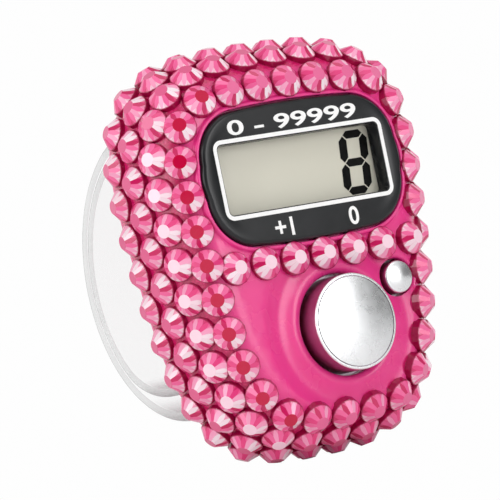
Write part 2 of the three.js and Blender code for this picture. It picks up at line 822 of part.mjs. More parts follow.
function backCover() {
  const backEdge = [0, 0.5, 0.85, 1].map((share) => surfaceLevel(() => coverFront + coverThickness * share));
  const lipOffset = -sideWall - lipClearance;
  const lipFront = coverFront - lipDepth;
  const lipOut = stacked([flatLevel(lipOffset, lipFront), flatLevel(lipOffset, coverFront + 0.2)]);
  const lipIn = stacked([
    flatLevel(lipOffset - lipThickness, lipFront - 1), flatLevel(lipOffset - lipThickness, coverFront),
  ]);
  const aroundPosts = coverPosts().map((post) =>
    rod(post.x, post.z, postRadius + 0.2, lipFront - 1, coverFront, 16));
  const lip = cutAll(lipOut.subtract(lipIn), aroundPosts);
  const doorBoss = rod(0, doorScrewZ, postRadius, doorFront - doorScrewLength, coverFront + 0.2, 16);
  const opening = (cellDiameter + 2 * cellClearance) / 2;
  const cuts = [
    plate(doorShape(doorClearance), doorFront, bodyDepth + 1),
    rod(0, cellMiddle, opening, coverFront - 1, bodyDepth + 1, 28),
    strapSlot(bandRadius, -1),
    strapSlot(innerStrapRadius, 1),
    rod(0, doorScrewZ, screwShankRadius + screwClearance, bodyDepth - doorScrewLength - 0.3, bodyDepth, 12),
  ];
  for (const post of coverPosts()) {
    const sink = screwHeadHeight + 0.1;
    cuts.push(rod(post.x, post.z, screwShankRadius + screwClearance, coverFront - 1, bodyDepth + 1, 12));
    cuts.push(rod(post.x, post.z, screwHeadRadius + screwClearance, bodyDepth - sink, bodyDepth + 1, 16));
  }
  return cutAll(stacked(backEdge).add(lip).add(doorBoss), cuts);
}

function batteryDoor() {
  const through = rod(0, doorScrewZ, screwShankRadius + screwClearance, doorFront - 1, bodyDepth + 1, 12);
  const sink = rod(0, doorScrewZ, screwHeadRadius + screwClearance, bodyDepth - 0.5, bodyDepth + 1, 16);
  return plate(doorShape(0), doorFront, bodyDepth).subtract(through).subtract(sink);
}

// Slotted screw that is driven from the back: its head ends at the given depth
function screw(x, z, headEnd, headHeight, length) {
  const body = turned(x, z, [
    [0, headEnd - length], [screwShankRadius, headEnd - length + 0.5],
    [screwShankRadius, headEnd - headHeight],
    [screwHeadRadius, headEnd - headHeight], [screwHeadRadius, headEnd], [0, headEnd],
  ], 10);
  const half = screwSlotWidth / 2;
  const slot = block(x - 2, x + 2, headEnd - screwSlotDepth, headEnd + 1, z - half, z + half);
  return body.subtract(slot);
}

// Button cell: a can with the narrower negative cap towards the board
function buttonCell() {
  const radius = cellDiameter / 2;
  const back = cellFront + cellThickness;
  return turned(0, cellMiddle, [
    [0, cellFront], [radius - 1.4, cellFront], [radius - 1.2, cellFront + 0.3],
    [radius, cellFront + 0.3], [radius, back - 0.2], [radius - 0.2, back], [0, back],
  ], 24);
}

function negativeContact() {
  const padBack = boardBack + contactThickness - 0.1;
  const half = contactWidth / 2;
  const pad = block(-half, half, boardBack, padBack, cellMiddle - contactHeight / 2,
    cellMiddle + contactHeight / 2);
  const spring = rod(0, cellMiddle, 1, boardBack, boardBack + contactThickness, 16);
  return pad.add(spring);
}

// Bent strip that stands beside the cell and grips its rim
function positiveContact() {
  const x = -cellDiameter / 2 - 0.1;
  const foot = block(x - 2.2, x, boardBack, boardBack + 0.3, cellMiddle - 2, cellMiddle + 2);
  const wallBack = cellFront + cellThickness - 1.2;
  const wall = block(x - 0.3, x, boardBack, wallBack, cellMiddle - 2, cellMiddle + 2);
  return foot.add(wall);
}

const pink = 0xe83c82;
const clear = 0xf2f4f6;
const steel = 0xb8bbc0;

addPart('front_shell', frontShell(), pink, 0.2, 0);
addPart('back_cover', backCover(), pink, 0.3, 0);
addPart('battery_door', batteryDoor(), pink, 0.3, 0);
addPart('bezel', bezel(), 0x1c1d20, 0.15, 0);
addPart('window_lens', lens(), clear, 0.05, 0, 0.3);
addDisplay();
addPart('circuit_board', board(), 0x1f6b3a, 0.5, 0);
addPart('counter_chip', chip(), 0x101012, 0.4, 0);
addPart('capacitor', capacitor(), 0xb89a6a, 0.5, 0);
addPart('count_button', buttonCap(buttonX, buttonZ, buttonRadius, buttonProud, buttonDome, true),
  0xe8eaec, 0.12, 1);
addPart('reset_button', buttonCap(resetX, resetZ, resetRadius, resetProud, resetDome, false),
  0xe8eaec, 0.12, 1);
addSwitch('count', buttonX, buttonZ, countSwitchSize, countPlungerRadius, buttonTravel);
addSwitch('reset', resetX, resetZ, resetSwitchSize, resetPlungerRadius, buttonTravel);
addPart('button_cell', buttonCell(), 0xc4c6c8, 0.25, 1);
addPart('negative_contact', negativeContact(), 0xc9b26a, 0.3, 1);
addPart('positive_contact', positiveContact(), 0xc9b26a, 0.3, 1);
addPart('outer_strap', outerStrap(), clear, 0.1, 0, 0.35);
addPart('inner_strap', innerStrap(), clear, 0.1, 0, 0.35);
addPart('strap_stud', stud(), clear, 0.1, 0, 0.5);
coverPosts().forEach((post, i) => {
  addPart(`cover_screw_${i + 1}`, screw(post.x, post.z, bodyDepth - 0.1, screwHeadHeight, screwLength),
    steel, 0.3, 1);
});
[boardPostLeft, boardPostRight].forEach((post, i) => {
  addPart(`board_screw_${i + 1}`, screw(post.x, post.z, boardBack + boardScrewHead, boardScrewHead,
    boardScrewLength),
    steel, 0.3, 1);
});
addPart('door_screw', screw(0, doorScrewZ, bodyDepth, 0.5, doorScrewLength), steel, 0.3, 1);

// Move the object so that its origin is under the middle of its bounding box
const box = new THREE.Box3().setFromObject(group);
const centre = box.getCenter(new THREE.Vector3());
group.position.set(-centre.x, -centre.y, -box.min.z);
group.updateMatrixWorld(true);

export default group;
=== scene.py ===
import math

import bmesh
import bpy
import numpy as np
from mathutils import Matrix, Vector
from mathutils.geometry import delaunay_2d_cdt


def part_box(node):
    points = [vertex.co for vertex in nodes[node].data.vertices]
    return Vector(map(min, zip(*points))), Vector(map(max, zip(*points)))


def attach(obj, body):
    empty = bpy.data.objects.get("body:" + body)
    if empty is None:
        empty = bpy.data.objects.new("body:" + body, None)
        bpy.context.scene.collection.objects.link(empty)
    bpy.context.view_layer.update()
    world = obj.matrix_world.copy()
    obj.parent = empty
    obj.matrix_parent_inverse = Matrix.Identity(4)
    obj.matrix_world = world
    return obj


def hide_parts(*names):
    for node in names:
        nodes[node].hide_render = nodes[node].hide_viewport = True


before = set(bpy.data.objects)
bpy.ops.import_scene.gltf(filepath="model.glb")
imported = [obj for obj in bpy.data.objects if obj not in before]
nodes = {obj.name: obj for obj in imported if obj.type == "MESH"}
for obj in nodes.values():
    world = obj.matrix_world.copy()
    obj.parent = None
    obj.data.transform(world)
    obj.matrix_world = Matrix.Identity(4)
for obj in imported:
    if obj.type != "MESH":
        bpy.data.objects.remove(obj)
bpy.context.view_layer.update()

# Sizes are in millimetres, as on a drawing: x to the right, z up from the body's lowest point,
# and y is the depth behind the face
mm = 0.001
tiny = 1e-12

body = {
    "halfWidth": 15.7, "halfHeight": 20.6, "squareness": 3.4, "taper": 0.14,
    "depth": 12.2, "coverFront": 10.8, "sideWall": 1.7, "faceWall": 1.9,
    "topInset": 4.6, "topDepth": 7.5, "sideInset": 4.7, "sideDepth": 6.7,
    "bottomInset": 4.9, "bottomDepth": 6.5, "backInset": 1.6, "points": 320,
}
door = {"width": 15.0, "top": 29.2, "bottom": 11.4, "corner": 1.2, "gap": 0.15}
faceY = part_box("back_cover")[1].y - body["depth"] * mm
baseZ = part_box("battery_door")[0].z - door["bottom"] * mm


def place(point):
    return (point[0] * mm, faceY + point[1] * mm, baseZ + point[2] * mm)


# mesh helpers


def newObject(name, data):
    made = bpy.data.objects.new(name, data)
    bpy.context.scene.collection.objects.link(made)
    return made


def plainMesh(carrier):
    bpy.context.view_layer.update()
    return bpy.data.meshes.new_from_object(carrier.evaluated_get(bpy.context.evaluated_depsgraph_get()))


def finishMesh(mesh, sharpAngle):
    work = bmesh.new()
    work.from_mesh(mesh)
    bmesh.ops.remove_doubles(work, verts=work.verts, dist=1e-8)
    bmesh.ops.recalc_face_normals(work, faces=work.faces)
    work.to_mesh(mesh)
    work.free()
    mesh.shade_smooth()
    mesh.set_sharp_from_angle(angle=math.radians(sharpAngle))


def addPiece(name, points, faces, material, slot, sharpAngle=35, onBody="counter_body"):
    mesh = bpy.data.meshes.new(name)
    mesh.from_pydata([place(p) for p in points], [], faces)
    finishMesh(mesh, sharpAngle)
    return addObject(name, mesh, material, onBody)


def addObject(name, mesh, material, onBody="counter_body"):
    piece = newObject(name, mesh)
    mesh.materials.clear()
    mesh.materials.append(material)
    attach(piece, onBody)
    return piece


def ringFaces(near, far, count):
    # four-sided faces between two rings of points, given by the numbers of their first points
    return [(near + i, near + (i + 1) % count, far + (i + 1) % count, far + i) for i in range(count)]


def loft(rings, loop=False):
    # joins rings of equally many points; open ends are closed with one face each
    count = len(rings[0])
    points = [p for ring in rings for p in ring]
    faces = []
    for j in range(len(rings) if loop else len(rings) - 1):
        faces += ringFaces(j * count, (j + 1) % len(rings) * count, count)
    if not loop:
        faces += [tuple(range(count)), tuple(range(len(points) - count, len(points)))]
    return points, faces


def doubleSheet(faces, loops, count):
    # adds the sheet's other side, whose points come count later, and the walls of its holes
    faces = faces + [[i + count for i in reversed(face)] for face in faces]
    for loop in loops[1:]:
        faces += [(loop[i - 1], loop[i], loop[i] + count, loop[i - 1] + count) for i in range(len(loop))]
    return faces


def turned(x, z, profile, sides):
    # a solid turned on an axis along y, from pairs of radius and depth that start and end on the axis
    points, faces = [(x, profile[0][1], z)], []
    for radius, y in profile[1:-1]:
        for i in range(sides):
            turn = 2 * math.pi * i / sides
            points.append((x + radius * math.sin(turn), y, z + radius * math.cos(turn)))
    points.append((x, profile[-1][1], z))
    last = len(points) - 1
    for i in range(sides):
        after = (i + 1) % sides
        faces.append((0, 1 + i, 1 + after))
        for j in range(len(profile) - 3):
            a, b = 1 + j * sides, 1 + (j + 1) * sides
            faces.append((a + i, b + i, b + after, a + after))
        faces.append((last, last - sides + after, last - sides + i))
    return points, faces


# outlines, as lists of (x, z)


def rim(angle):
    s, c, e = math.sin(angle), math.cos(angle), body["squareness"]
    r = (abs(s / body["halfWidth"]) ** e + abs(c / body["halfHeight"]) ** e) ** (-1 / e)
    z = r * c
    return r * s * (1 + body["taper"] * z / body["halfHeight"]), body["halfHeight"] + z


def rimNormal(angle):
    step = 0.001
    ax, az = rim(angle - step)
    bx, bz = rim(angle + step)
    length = math.hypot(bx - ax, bz - az)
    return -(bz - az) / length, (bx - ax) / length


def rimOffset(angle, offset):
    (x, z), (nx, nz) = rim(angle), rimNormal(angle)
    return x + nx * offset, z + nz * offset


def edgeSize(angle):
    # how far the rounded edge reaches in over the face, and back
    nx, nz = rimNormal(angle)
    top, bottom, side = max(nz, 0) ** 2, max(-nz, 0) ** 2, nx ** 2
    return (body["topInset"] * top + body["sideInset"] * side + body["bottomInset"] * bottom,
            body["topDepth"] * top + body["sideDepth"] * side + body["bottomDepth"] * bottom)


def surfaceAt(angle, y):
    # at a depth: the surface's offset from the outline, and how much it faces outwards and forwards
    inset, depth = edgeSize(angle)
    if y < depth:
        turn = math.acos(1 - y / depth)
        return -inset * (1 - math.sin(turn)), depth * math.sin(turn), inset * math.cos(turn)
    rest, backInset = body["depth"] - depth, body["backInset"]
    turn = math.asin(min(1.0, (y - depth) / rest))
    return -backInset * (1 - math.cos(turn)), rest * math.cos(turn), -backInset * math.sin(turn)


def surfacePoint(angle, y):
    x, z = rimOffset(angle, surfaceAt(angle, y)[0])
    return x, y, z


def evenAngles(path, count, phase):
    # angles that divide a closed path round the body into equal lengths
    steps = 1440
    line = np.array([path(i / steps * 2 * math.pi) for i in range(steps + 1)])
    lengths = np.concatenate([[0], np.cumsum(np.hypot(*np.diff(line, axis=0).T))])
    wanted = (np.arange(count) + phase % 1) / count * lengths[-1]
    return np.interp(wanted, lengths, np.arange(steps + 1) / steps * 2 * math.pi)


def arc(cx, cz, radius, start, turn, steps):
    return [
        (cx + radius * math.cos(start + turn * i / steps), cz + radius * math.sin(start + turn * i / steps))
        for i in range(steps)
    ]


def roundedBox(halfWidth, halfHeight, corner, middle, swell=0.0, cornerSteps=16, sideSteps=24):
    # sides are shallow curves that swell outwards; every such outline has matching points
    line = []
    x, z, quarter = halfWidth - corner, halfHeight - corner, math.pi / 2
    sides = [((-x, -halfHeight), (0, -halfHeight - swell), (x, -halfHeight)),
             ((halfWidth, -z), (halfWidth + swell, 0), (halfWidth, z)),
             ((x, halfHeight), (0, halfHeight + swell), (-x, halfHeight)),
             ((-halfWidth, z), (-halfWidth - swell, 0), (-halfWidth, -z))]
    centres = [(x, -z), (x, z), (-x, z), (-x, -z)]
    for k, (a, m, b) in enumerate(sides):
        for i in range(sideSteps):
            t = i / sideSteps
            line.append(tuple(a[n] * (1 - t) ** 2 + m[n] * 2 * t * (1 - t) + b[n] * t * t for n in (0, 1)))
        line += arc(*centres[k], corner, -quarter + k * quarter, quarter, cornerSteps)
    return [(px, pz + middle) for px, pz in line]


def circle(x, z, radius, count):
    return [(x + radius * math.sin(2 * math.pi * i / count), z + radius * math.cos(2 * math.pi * i / count))
            for i in range(count)]


def within(points, line):
    # which points lie inside a closed line
    p, a = np.asarray(points), np.asarray(line)
    b = np.roll(a, -1, axis=0)
    crosses = (a[:, 1] > p[:, 1:2]) != (b[:, 1] > p[:, 1:2])
    span = b[:, 1] - a[:, 1]
    span[span == 0] = tiny
    atX = a[:, 0] + (p[:, 1:2] - a[:, 1]) / span * (b[:, 0] - a[:, 0])
    return (crosses & (p[:, 0:1] < atX)).sum(axis=1) % 2 == 1


def distanceTo(points, line):
    p, a = np.asarray(points)[:, None, :], np.asarray(line)
    d = np.roll(a, -1, axis=0) - a
    t = np.clip(((p - a) * d).sum(-1) / np.maximum((d * d).sum(-1), tiny), 0, 1)
    return np.hypot(*np.moveaxis(p - a - t[..., None] * d, -1, 0)).min(axis=1)


def triangulate(points, loops, outside, holes):
    # triangles over points in the face's plane; loops are runs of indices whose edges are kept
    edges = [(loop[i - 1], loop[i]) for loop in loops for i in range(len(loop))]
    out = delaunay_2d_cdt([Vector(p) for p in points], edges, [], 0, 1e-7)
    first = [group[0] for group in out[3]]
    faces = [[first[i] for i in face] for face in out[2]]
    middles = np.array([np.mean([points[i] for i in face], axis=0) for face in faces])
    keep = within(middles, outside)
    for hole in holes:
        keep &= ~within(middles, hole)
    return [face for face, kept in zip(faces, keep) if kept]


# material helpers


def newMaterial(name):
    material = bpy.data.materials.new(name)
    material.use_nodes = True
    tree = material.node_tree
    tree.nodes.clear()
    output = tree.nodes.new("ShaderNodeOutputMaterial")
    shader = tree.nodes.new("ShaderNodeBsdfPrincipled")
    tree.links.new(shader.outputs["BSDF"], output.inputs["Surface"])
    return material, tree, shader


def feed(node, **values):
    # sets or links inputs by name, or by number as i0, i1 and so on
    for key, value in values.items():
        socket = node.inputs[int(key[1:]) if key[1:].isdigit() else key.replace("_", " ")]
        if isinstance(value, bpy.types.NodeSocket):
            node.id_data.links.new(value, socket)
        else:
            socket.default_value = (*value, 1.0)[:4] if socket.type == "RGBA" else value


def addNode(tree, kind, settings=None, **inputs):
    node = tree.nodes.new(kind)
    for key, value in (settings or {}).items():
        setattr(node, key, value)
    feed(node, **inputs)
    return node


def calc(operation, a, b=0.0):
    # the socket given says which tree the node goes in
    tree = (a if isinstance(a, bpy.types.NodeSocket) else b).id_data
    return addNode(tree, "ShaderNodeMath", {"operation": operation}, i0=a, i1=b).outputs[0]


def objectCoordinates(tree):
    return addNode(tree, "ShaderNodeTexCoord").outputs["Object"]


def noise(tree, scale, detail=2.0):
    return addNode(tree, "ShaderNodeTexNoise", Scale=scale, Detail=detail,
                   Vector=objectCoordinates(tree)).outputs["Fac"]


def ramp(factor, stops, interpolation="LINEAR"):
    node = addNode(factor.id_data, "ShaderNodeValToRGB", Fac=factor)
    elements = node.color_ramp.elements
    node.color_ramp.interpolation = interpolation
    while len(elements) < len(stops):
        elements.new(0.5)
    for element, (position, colour) in zip(elements, stops):
        element.position = position
        element.color = (*colour, 1.0)
    return node.outputs["Color"]


def drift(tree, scale, dark, light, detail=2.0):
    # a colour that wanders slowly between two tones
    return ramp(noise(tree, scale, detail), [(0.3, dark), (0.7, light)])


def mixColour(factor, first, second):
    return addNode(factor.id_data, "ShaderNodeMix", {"data_type": "RGBA"}, Factor=factor, i6=first,
                   i7=second).outputs[2]


def mapRange(value, fromMin, fromMax, toMin=0.0, toMax=1.0, smooth=False):
    kind = {"interpolation_type": "SMOOTHSTEP" if smooth else "LINEAR"}
    return addNode(value.id_data, "ShaderNodeMapRange", kind, Value=value, From_Min=fromMin,
                   From_Max=fromMax, To_Min=toMin, To_Max=toMax).outputs["Result"]


def addBump(shader, height, distance):
    bump = addNode(shader.id_data, "ShaderNodeBump", Distance=distance * mm, Height=height)
    feed(shader, Normal=bump.outputs["Normal"])


def surface(name, dark, light, roughness, patch=500, grain=6000, grainDepth=0.004, **values):
    # one family of finishes: slow colour drift, uneven roughness and a fine grain
    material, tree, shader = newMaterial(name)
    uneven = mapRange(noise(tree, patch * 3, 4.0), 0.0, 1.0, roughness * 0.8, roughness * 1.25)
    feed(shader, Base_Color=drift(tree, patch, dark, light, 3.0), Roughness=uneven, **values)
    addBump(shader, noise(tree, grain), grainDepth)
    return material


def facetRamp(factor, tones):
    stops = [(i / len(tones), gem["tones"][tone]) for i, tone in enumerate(tones)]
    return ramp(factor, stops, "CONSTANT")


def rhinestoneMaterial():
    # the crown is split into facets about the table, each with its own tone: the tones are painted
    # reflections and the white facets painted highlights; tables get painted reflection tones that differ
    # from row to row
    material, tree, shader = newMaterial("pinkRhinestone")

    def attribute(name, output):
        return addNode(tree, "ShaderNodeAttribute", {"attribute_name": name}).outputs[output]

    axes = addNode(tree, "ShaderNodeSeparateXYZ", Vector=attribute("stonePlace", "Vector")).outputs
    turns = calc("DIVIDE", calc("ARCTAN2", axes["Y"], axes["X"]), 2 * math.pi)
    turns = calc("ADD", turns, 1.0)
    flat = addNode(tree, "ShaderNodeCombineXYZ", X=axes["X"], Y=axes["Y"]).outputs[0]
    radius = addNode(tree, "ShaderNodeVectorMath", {"operation": "LENGTH"}, i0=flat).outputs["Value"]
    edge = stones["diameter"] / 2 * mm
    crown = facetRamp(calc("FRACT", turns), gem["crown"])
    # small triangles along the girdle: the facets there are half a step round
    halfStep = calc("FRACT", calc("ADD", turns, 0.5 / stones["facets"]))
    outer = facetRamp(halfStep, gem["crown"][3:] + gem["crown"][:3])
    inFacet = calc("FRACT", calc("MULTIPLY", turns, float(stones["facets"])))
    saw = calc("ABSOLUTE", calc("SUBTRACT", inFacet, 0.5))
    reach = calc("ADD", calc("MULTIPLY", saw, -gem["triangle"] * edge), edge)
    onOuter = calc("GREATER_THAN", radius, reach)
    face = mixColour(calc("MULTIPLY", onOuter, gem["outerShare"]), crown, outer)
    tone = calc("MULTIPLY", attribute("stoneTone", "Fac"), gem["toneShare"])
    face = mixColour(tone, face, gem["deep"])
    onTable = calc("LESS_THAN", radius, edge * stones["tableShare"] * gem["tableMargin"])
    table = ramp(attribute("paintedTableReflection", "Fac"),
                 [(0.0, gem["table"]), (0.5, gem["midTable"]), (1.0, gem["paleTable"])])
    face = mixColour(onTable, face, table)
    lines = calc("GREATER_THAN", saw, gem["lineFrom"])
    lines = calc("MULTIPLY", lines, calc("SUBTRACT", 1.0, onTable))
    face = mixColour(calc("MULTIPLY", lines, gem["lineShare"]), face, gem["deep"])
    # the outer ring of each stone fades to a dark outline: partly the stone's own edge, partly painted shade
    # in the gaps between stones
    paintedGapShade = mapRange(radius, edge * gem["rimFrom"], edge * gem["rimTo"])
    face = mixColour(paintedGapShade, face, gem["outline"])
    uneven = mapRange(noise(tree, gem["grain"]), 0.2, 0.8, *gem["roughness"])
    feed(shader, Base_Color=face, Roughness=uneven, IOR=gem["ior"], Specular_Tint=gem["tint"])
    return material


def clearMaterial(name, dark, light, faceOn, edgeOn, roughness=0.08):
    # thin clear plastic: nearly invisible face on, pale grey where it is seen edge on
    material, tree, shader = newMaterial(name)
    facing = addNode(tree, "ShaderNodeLayerWeight", Blend=0.5).outputs["Facing"]
    feed(shader, Base_Color=drift(tree, 300, dark, light), Roughness=roughness, IOR=1.4,
         Alpha=mapRange(facing, 0.5, 0.96, faceOn, edgeOn, True))
    addBump(shader, noise(tree, 180), 0.008)
    return material


def displayMaterial():
    # beige film, a little uneven in tone, with a fine grain
    material, tree, shader = newMaterial("displayFilm")
    feed(shader, Base_Color=drift(tree, 60, (0.69, 0.67, 0.56), (0.75, 0.73, 0.62)), Roughness=0.45)
    addBump(shader, noise(tree, 9000, 1.0), 0.002)
    return material


def circuitMaterial():
    # green lacquer with copper tracks showing as lighter lines
    material, tree, shader = newMaterial("circuitGreen")
    tracks = addNode(tree, "ShaderNodeTexBrick", Scale=260.0, Vector=objectCoordinates(tree),
                     Color1=(0.015, 0.16, 0.05), Color2=(0.02, 0.20, 0.06), Mortar=(0.10, 0.34, 0.12))
    feed(shader, Base_Color=tracks.outputs["Color"], Roughness=0.3)
    addBump(shader, tracks.outputs["Fac"], 0.02)
    return material


def stripeMaterial():
    # layered elastomer: thin dark conducting layers between pink ones
    material, tree, shader = newMaterial("layeredElastomer")
    wave = addNode(tree, "ShaderNodeTexWave", {"bands_direction": "X"}, Scale=2500.0,
                   Vector=objectCoordinates(tree)).outputs["Fac"]
    feed(shader, Base_Color=ramp(wave, [(0.4, (0.75, 0.30, 0.38)), (0.6, (0.08, 0.05, 0.06))]),
         Roughness=0.7)
    return material


print("helpers ready")

# crown tones are painted reflections, the white ones painted highlights; the three table tones are painted
# reflections; outline is partly painted shade between the stones
gem = {
    "tones": {
        "white": (1.0, 0.86, 0.92), "pale": (0.98, 0.40, 0.60), "mid": (0.93, 0.15, 0.37),
        "deep": (0.82, 0.055, 0.23), "dark": (0.60, 0.012, 0.11),
    },
    "crown": ["white", "pale", "deep", "mid", "pale", "mid", "dark", "mid", "deep", "mid", "pale", "mid",
              "dark", "white"],
    "deep": (0.66, 0.02, 0.15), "outline": (0.36, 0.004, 0.06), "ior": 1.65,
    "table": (0.55, 0.001, 0.045), "midTable": (0.85, 0.16, 0.36), "paleTable": (1.0, 0.72, 0.82),
    "triangle": 0.6, "outerShare": 0.65, "toneShare": 0.16, "tableMargin": 1.02, "lineFrom": 0.47,
    "lineShare": 0.35, "rimFrom": 0.92, "rimTo": 0.968, "grain": 2500, "roughness": (0.02, 0.08),
    "tint": (1.0, 0.80, 0.88),
}

# shell: dished face, wells for the two buttons, raised lip about the bezel

wells = {
    "countX": 1.6, "countZ": 11.55, "countRadius": 5.3, "countRounding": 0.7,
    "resetX": 9.2, "resetZ": 15.3, "resetRadius": 2.0, "resetRounding": 0.35,
    "dishOuter": 9.7, "dishInner": 6.3, "dishDepth": 0.4,
}
bezel = {
    "width": 24.2, "height": 14.0, "corner": 5.2, "swell": 0.5, "middle": 27.95,
    "proud": 0.7, "seat": 0.5, "edge": 0.5, "clearance": 0.15, "windowWidth": 20.1, "windowHeight": 7.2,
    "windowCorner": 0.5, "windowRounding": 0.1, "skirtWall": 0.75, "skirtEnd": 1.2, "skirtCorner": 0.1,
    "seatInset": 0.02, "seatCorner": 0.05, "edgeSteps": 8,
}
# raised lip about the bezel, as pairs of distance from the bezel's seat and height; where it is lower
# than lipLow it follows the face
lip = [(0.0, 0.25), (0.04, 0.32), (0.13, 0.35), (0.27, 0.33), (0.38, 0.24), (0.45, 0.10), (0.51, 0.02),
       (0.65, 0.0)]
lipLow = 0.05
# how finely the shell is divided, and how far apart its rows of points stay
division = {
    "edgeSteps": 16, "wallSteps": 8, "wellSteps": 7, "countSides": 120, "resetSides": 64,
    "dishSides": 140, "dishStep": 0.2, "dishGap": 0.1, "columns": 27, "rows": 68, "step": 0.6,
    "edgeGap": 0.25, "lipGap": 0.12, "dishLipGap": 0.2, "gridLipGap": 0.3, "resetGap": 0.12,
    "dishPast": 0.15, "gridDishGap": 0.35,
}


def bezelLine(grow):
    return roundedBox(bezel["width"] / 2 + grow, bezel["height"] / 2 + grow, bezel["corner"] + grow,
                      bezel["middle"], bezel["swell"])


def windowLine(grow, corner):
    return roundedBox(bezel["windowWidth"] / 2 + grow, bezel["windowHeight"] / 2 + grow, corner,
                      bezel["middle"])


def dishDepth(x, z):
    r = math.hypot(x - wells["countX"], z - wells["countZ"])
    if not wells["dishInner"] < r < wells["dishOuter"]:
        return 0.0
    share = (r - wells["dishInner"]) / (wells["dishOuter"] - wells["dishInner"])
    return wells["dishDepth"] * math.sin(share * math.pi)


def faceDepths(line, outline, sizes):
    # how far behind the flat face the surface lies at points of a line
    p = np.asarray(line)
    nearest = np.hypot(*np.moveaxis(p[:, None, :] - np.asarray(outline), -1, 0)).argmin(axis=1)
    inset, deep = np.array(sizes)[nearest].T
    run = np.clip(1 - distanceTo(line, outline) / inset, 0, 1)
    fall = deep * (1 - np.sqrt(1 - run ** 2))
    return [max(float(f), dishDepth(*q)) for f, q in zip(fall, line)]


def buildShell(material):
    wall, sideWall = body["faceWall"], body["sideWall"]
    flat, depth, inner = [], [], []  # (x, z), depth of the outside, and the matching inside point

    def addRing(line, depths, keep=None, insides=None):
        first = len(flat)
        for i, (x, z) in enumerate(line):
            if keep is None or keep[i]:
                flat.append((x, z))
                depth.append(depths[i] if isinstance(depths, list) else depths)
                inner.append(insides[i] if insides else (x, wall, z))
        return list(range(first, len(flat)))

    angles = evenAngles(rim, body["points"], 0)
    sizes = [edgeSize(a) for a in angles]
    flatLine = [rimOffset(a, -inset) for a, (inset, _) in zip(angles, sizes)]
    outline = [rim(a) for a in angles]
    lipFoot = bezelLine(bezel["clearance"] + lip[-1][0])
    for j in range(division["edgeSteps"] + 1):
        turn = j / division["edgeSteps"] * math.pi / 2
        rise, run = 1 - math.cos(turn), math.sin(turn)
        line, depths, insides = [], [], []
        for a, (inset, deep) in zip(angles, sizes):
            x, z = rimOffset(a, -inset * (1 - run))
            line.append((x, z))
            depths.append(max(deep * rise, dishDepth(x, z)))
            x, z = rimOffset(a, -inset + (inset - sideWall) * run)
            insides.append((x, wall + (deep - wall) * rise, z))
        clear = ~within(line, lipFoot) & (distanceTo(line, lipFoot) > division["lipGap"])
        ring = addRing(line, depths, keep=clear, insides=insides)
    loops = [ring]

    seatHole = windowLine(bezel["skirtWall"] + bezel["clearance"], bezel["seatCorner"])
    loops.append(addRing(seatHole, bezel["seat"]))
    addRing(bezelLine(bezel["clearance"] - bezel["seatInset"]), bezel["seat"])
    for grow, proud in lip:
        line = bezelLine(bezel["clearance"] + grow)
        addRing(line, [-proud if proud > lipLow else y - proud for y in faceDepths(line, outline, sizes)])

    holes = [seatHole]
    for key in ("count", "reset"):
        spot, sides = (wells[key + "X"], wells[key + "Z"]), division[key + "Sides"]
        radius, rounding = wells[key + "Radius"], wells[key + "Rounding"]
        holes.append(circle(*spot, radius, sides))
        for j in range(division["wellSteps"] + 1):
            turn = j / division["wellSteps"] * math.pi / 2
            line = circle(*spot, radius + rounding * (1 - math.sin(turn)), sides)
            y = rounding * (1 - math.cos(turn))
            ring = addRing(line, [max(y, dishDepth(*p)) for p in line])
        loops.append(ring)

    def free(line, lipGap):
        clear = within(line, flatLine) & (distanceTo(line, flatLine) > division["edgeGap"])
        clear &= ~within(line, lipFoot) & (distanceTo(line, lipFoot) > lipGap)
        fromReset = np.hypot(*(np.asarray(line) - (wells["resetX"], wells["resetZ"])).T)
        return clear & (fromReset > wells["resetRadius"] + wells["resetRounding"] + division["resetGap"])

    radius = wells["dishInner"] - division["dishGap"]
    while radius < wells["dishOuter"] + division["dishPast"]:
        line = circle(wells["countX"], wells["countZ"], radius, division["dishSides"])
        addRing(line, [dishDepth(*p) for p in line], keep=free(line, division["dishLipGap"]))
        radius += division["dishStep"]
    step, columns = division["step"], division["columns"]
    grid = [(i * step, j * step) for i in range(-columns, columns + 1) for j in range(division["rows"])]
    fromCount = np.hypot(*(np.array(grid) - (wells["countX"], wells["countZ"])).T)
    clear = fromCount > wells["dishOuter"] + division["gridDishGap"]
    addRing(grid, 0.0, keep=free(grid, division["gridLipGap"]) & clear)

    count = len(flat)
    points = [(x, y, z) for (x, z), y in zip(flat, depth)] + inner
    faces = doubleSheet(triangulate(flat, loops, outline, holes), loops, count)
    n, rows = len(outline), division["wallSteps"]
    near, nearInside = loops[0][0], loops[0][0] + count
    insideLine = [rimOffset(a, -sideWall) for a in angles]
    for j in range(1, rows + 1):
        first = len(points)
        levels = [deep + (body["coverFront"] - deep) * j / rows for _, deep in sizes]
        points += [surfacePoint(a, y) for a, y in zip(angles, levels)]
        points += [(x, y, z) for (x, z), y in zip(insideLine, levels)]
        faces += ringFaces(near, first, n) + ringFaces(first + n, nearInside, n)
        near, nearInside = first, first + n
    faces += ringFaces(near, nearInside, n)
    shell = addPiece("shell", points, faces, material, "pink_plastic", 50)
    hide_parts("front_shell")


# rhinestones: rows round the edge and one across the face, set by Geometry Nodes

stones = {
    "diameter": 3.5, "height": 1.32, "girdle": 0.38, "tableShare": 0.40, "sink": 0.35, "facets": 14,
    "firstRow": 30, "firstPhase": 0.06, "row": 34, "phase": 0.13, "depths": (0.75, 2.9, 5.7, 9.0),
    "lift": 0.7, "divider": 7, "dividerPitch": 3.7, "dividerX": 0.65, "dividerZ": 19.05, "nearest": 2.6,
    "seed": 7, "spin": 0.12,
    # per row, the way the white facets, a painted highlight, are turned
    "paintedHighlightSide": [(0.6, 0.0, -0.8), (0.8, -0.5, -0.4), (0.7, -0.6, 0.6), (0.7, -0.6, 0.6)],
    "dividerPaintedHighlightSide": (-0.75, 0.0, -0.65), "dividerTable": 1.0,
    # how pale the tables' painted reflections are, and which ones count as facing left, level and not upwards
    "firstTable": 0.45, "firstLeftTable": 0.0, "table": 0.35, "secondLeftTable": 1.0,
    "left": -0.2, "level": 0.75, "notUp": 0.15,
}


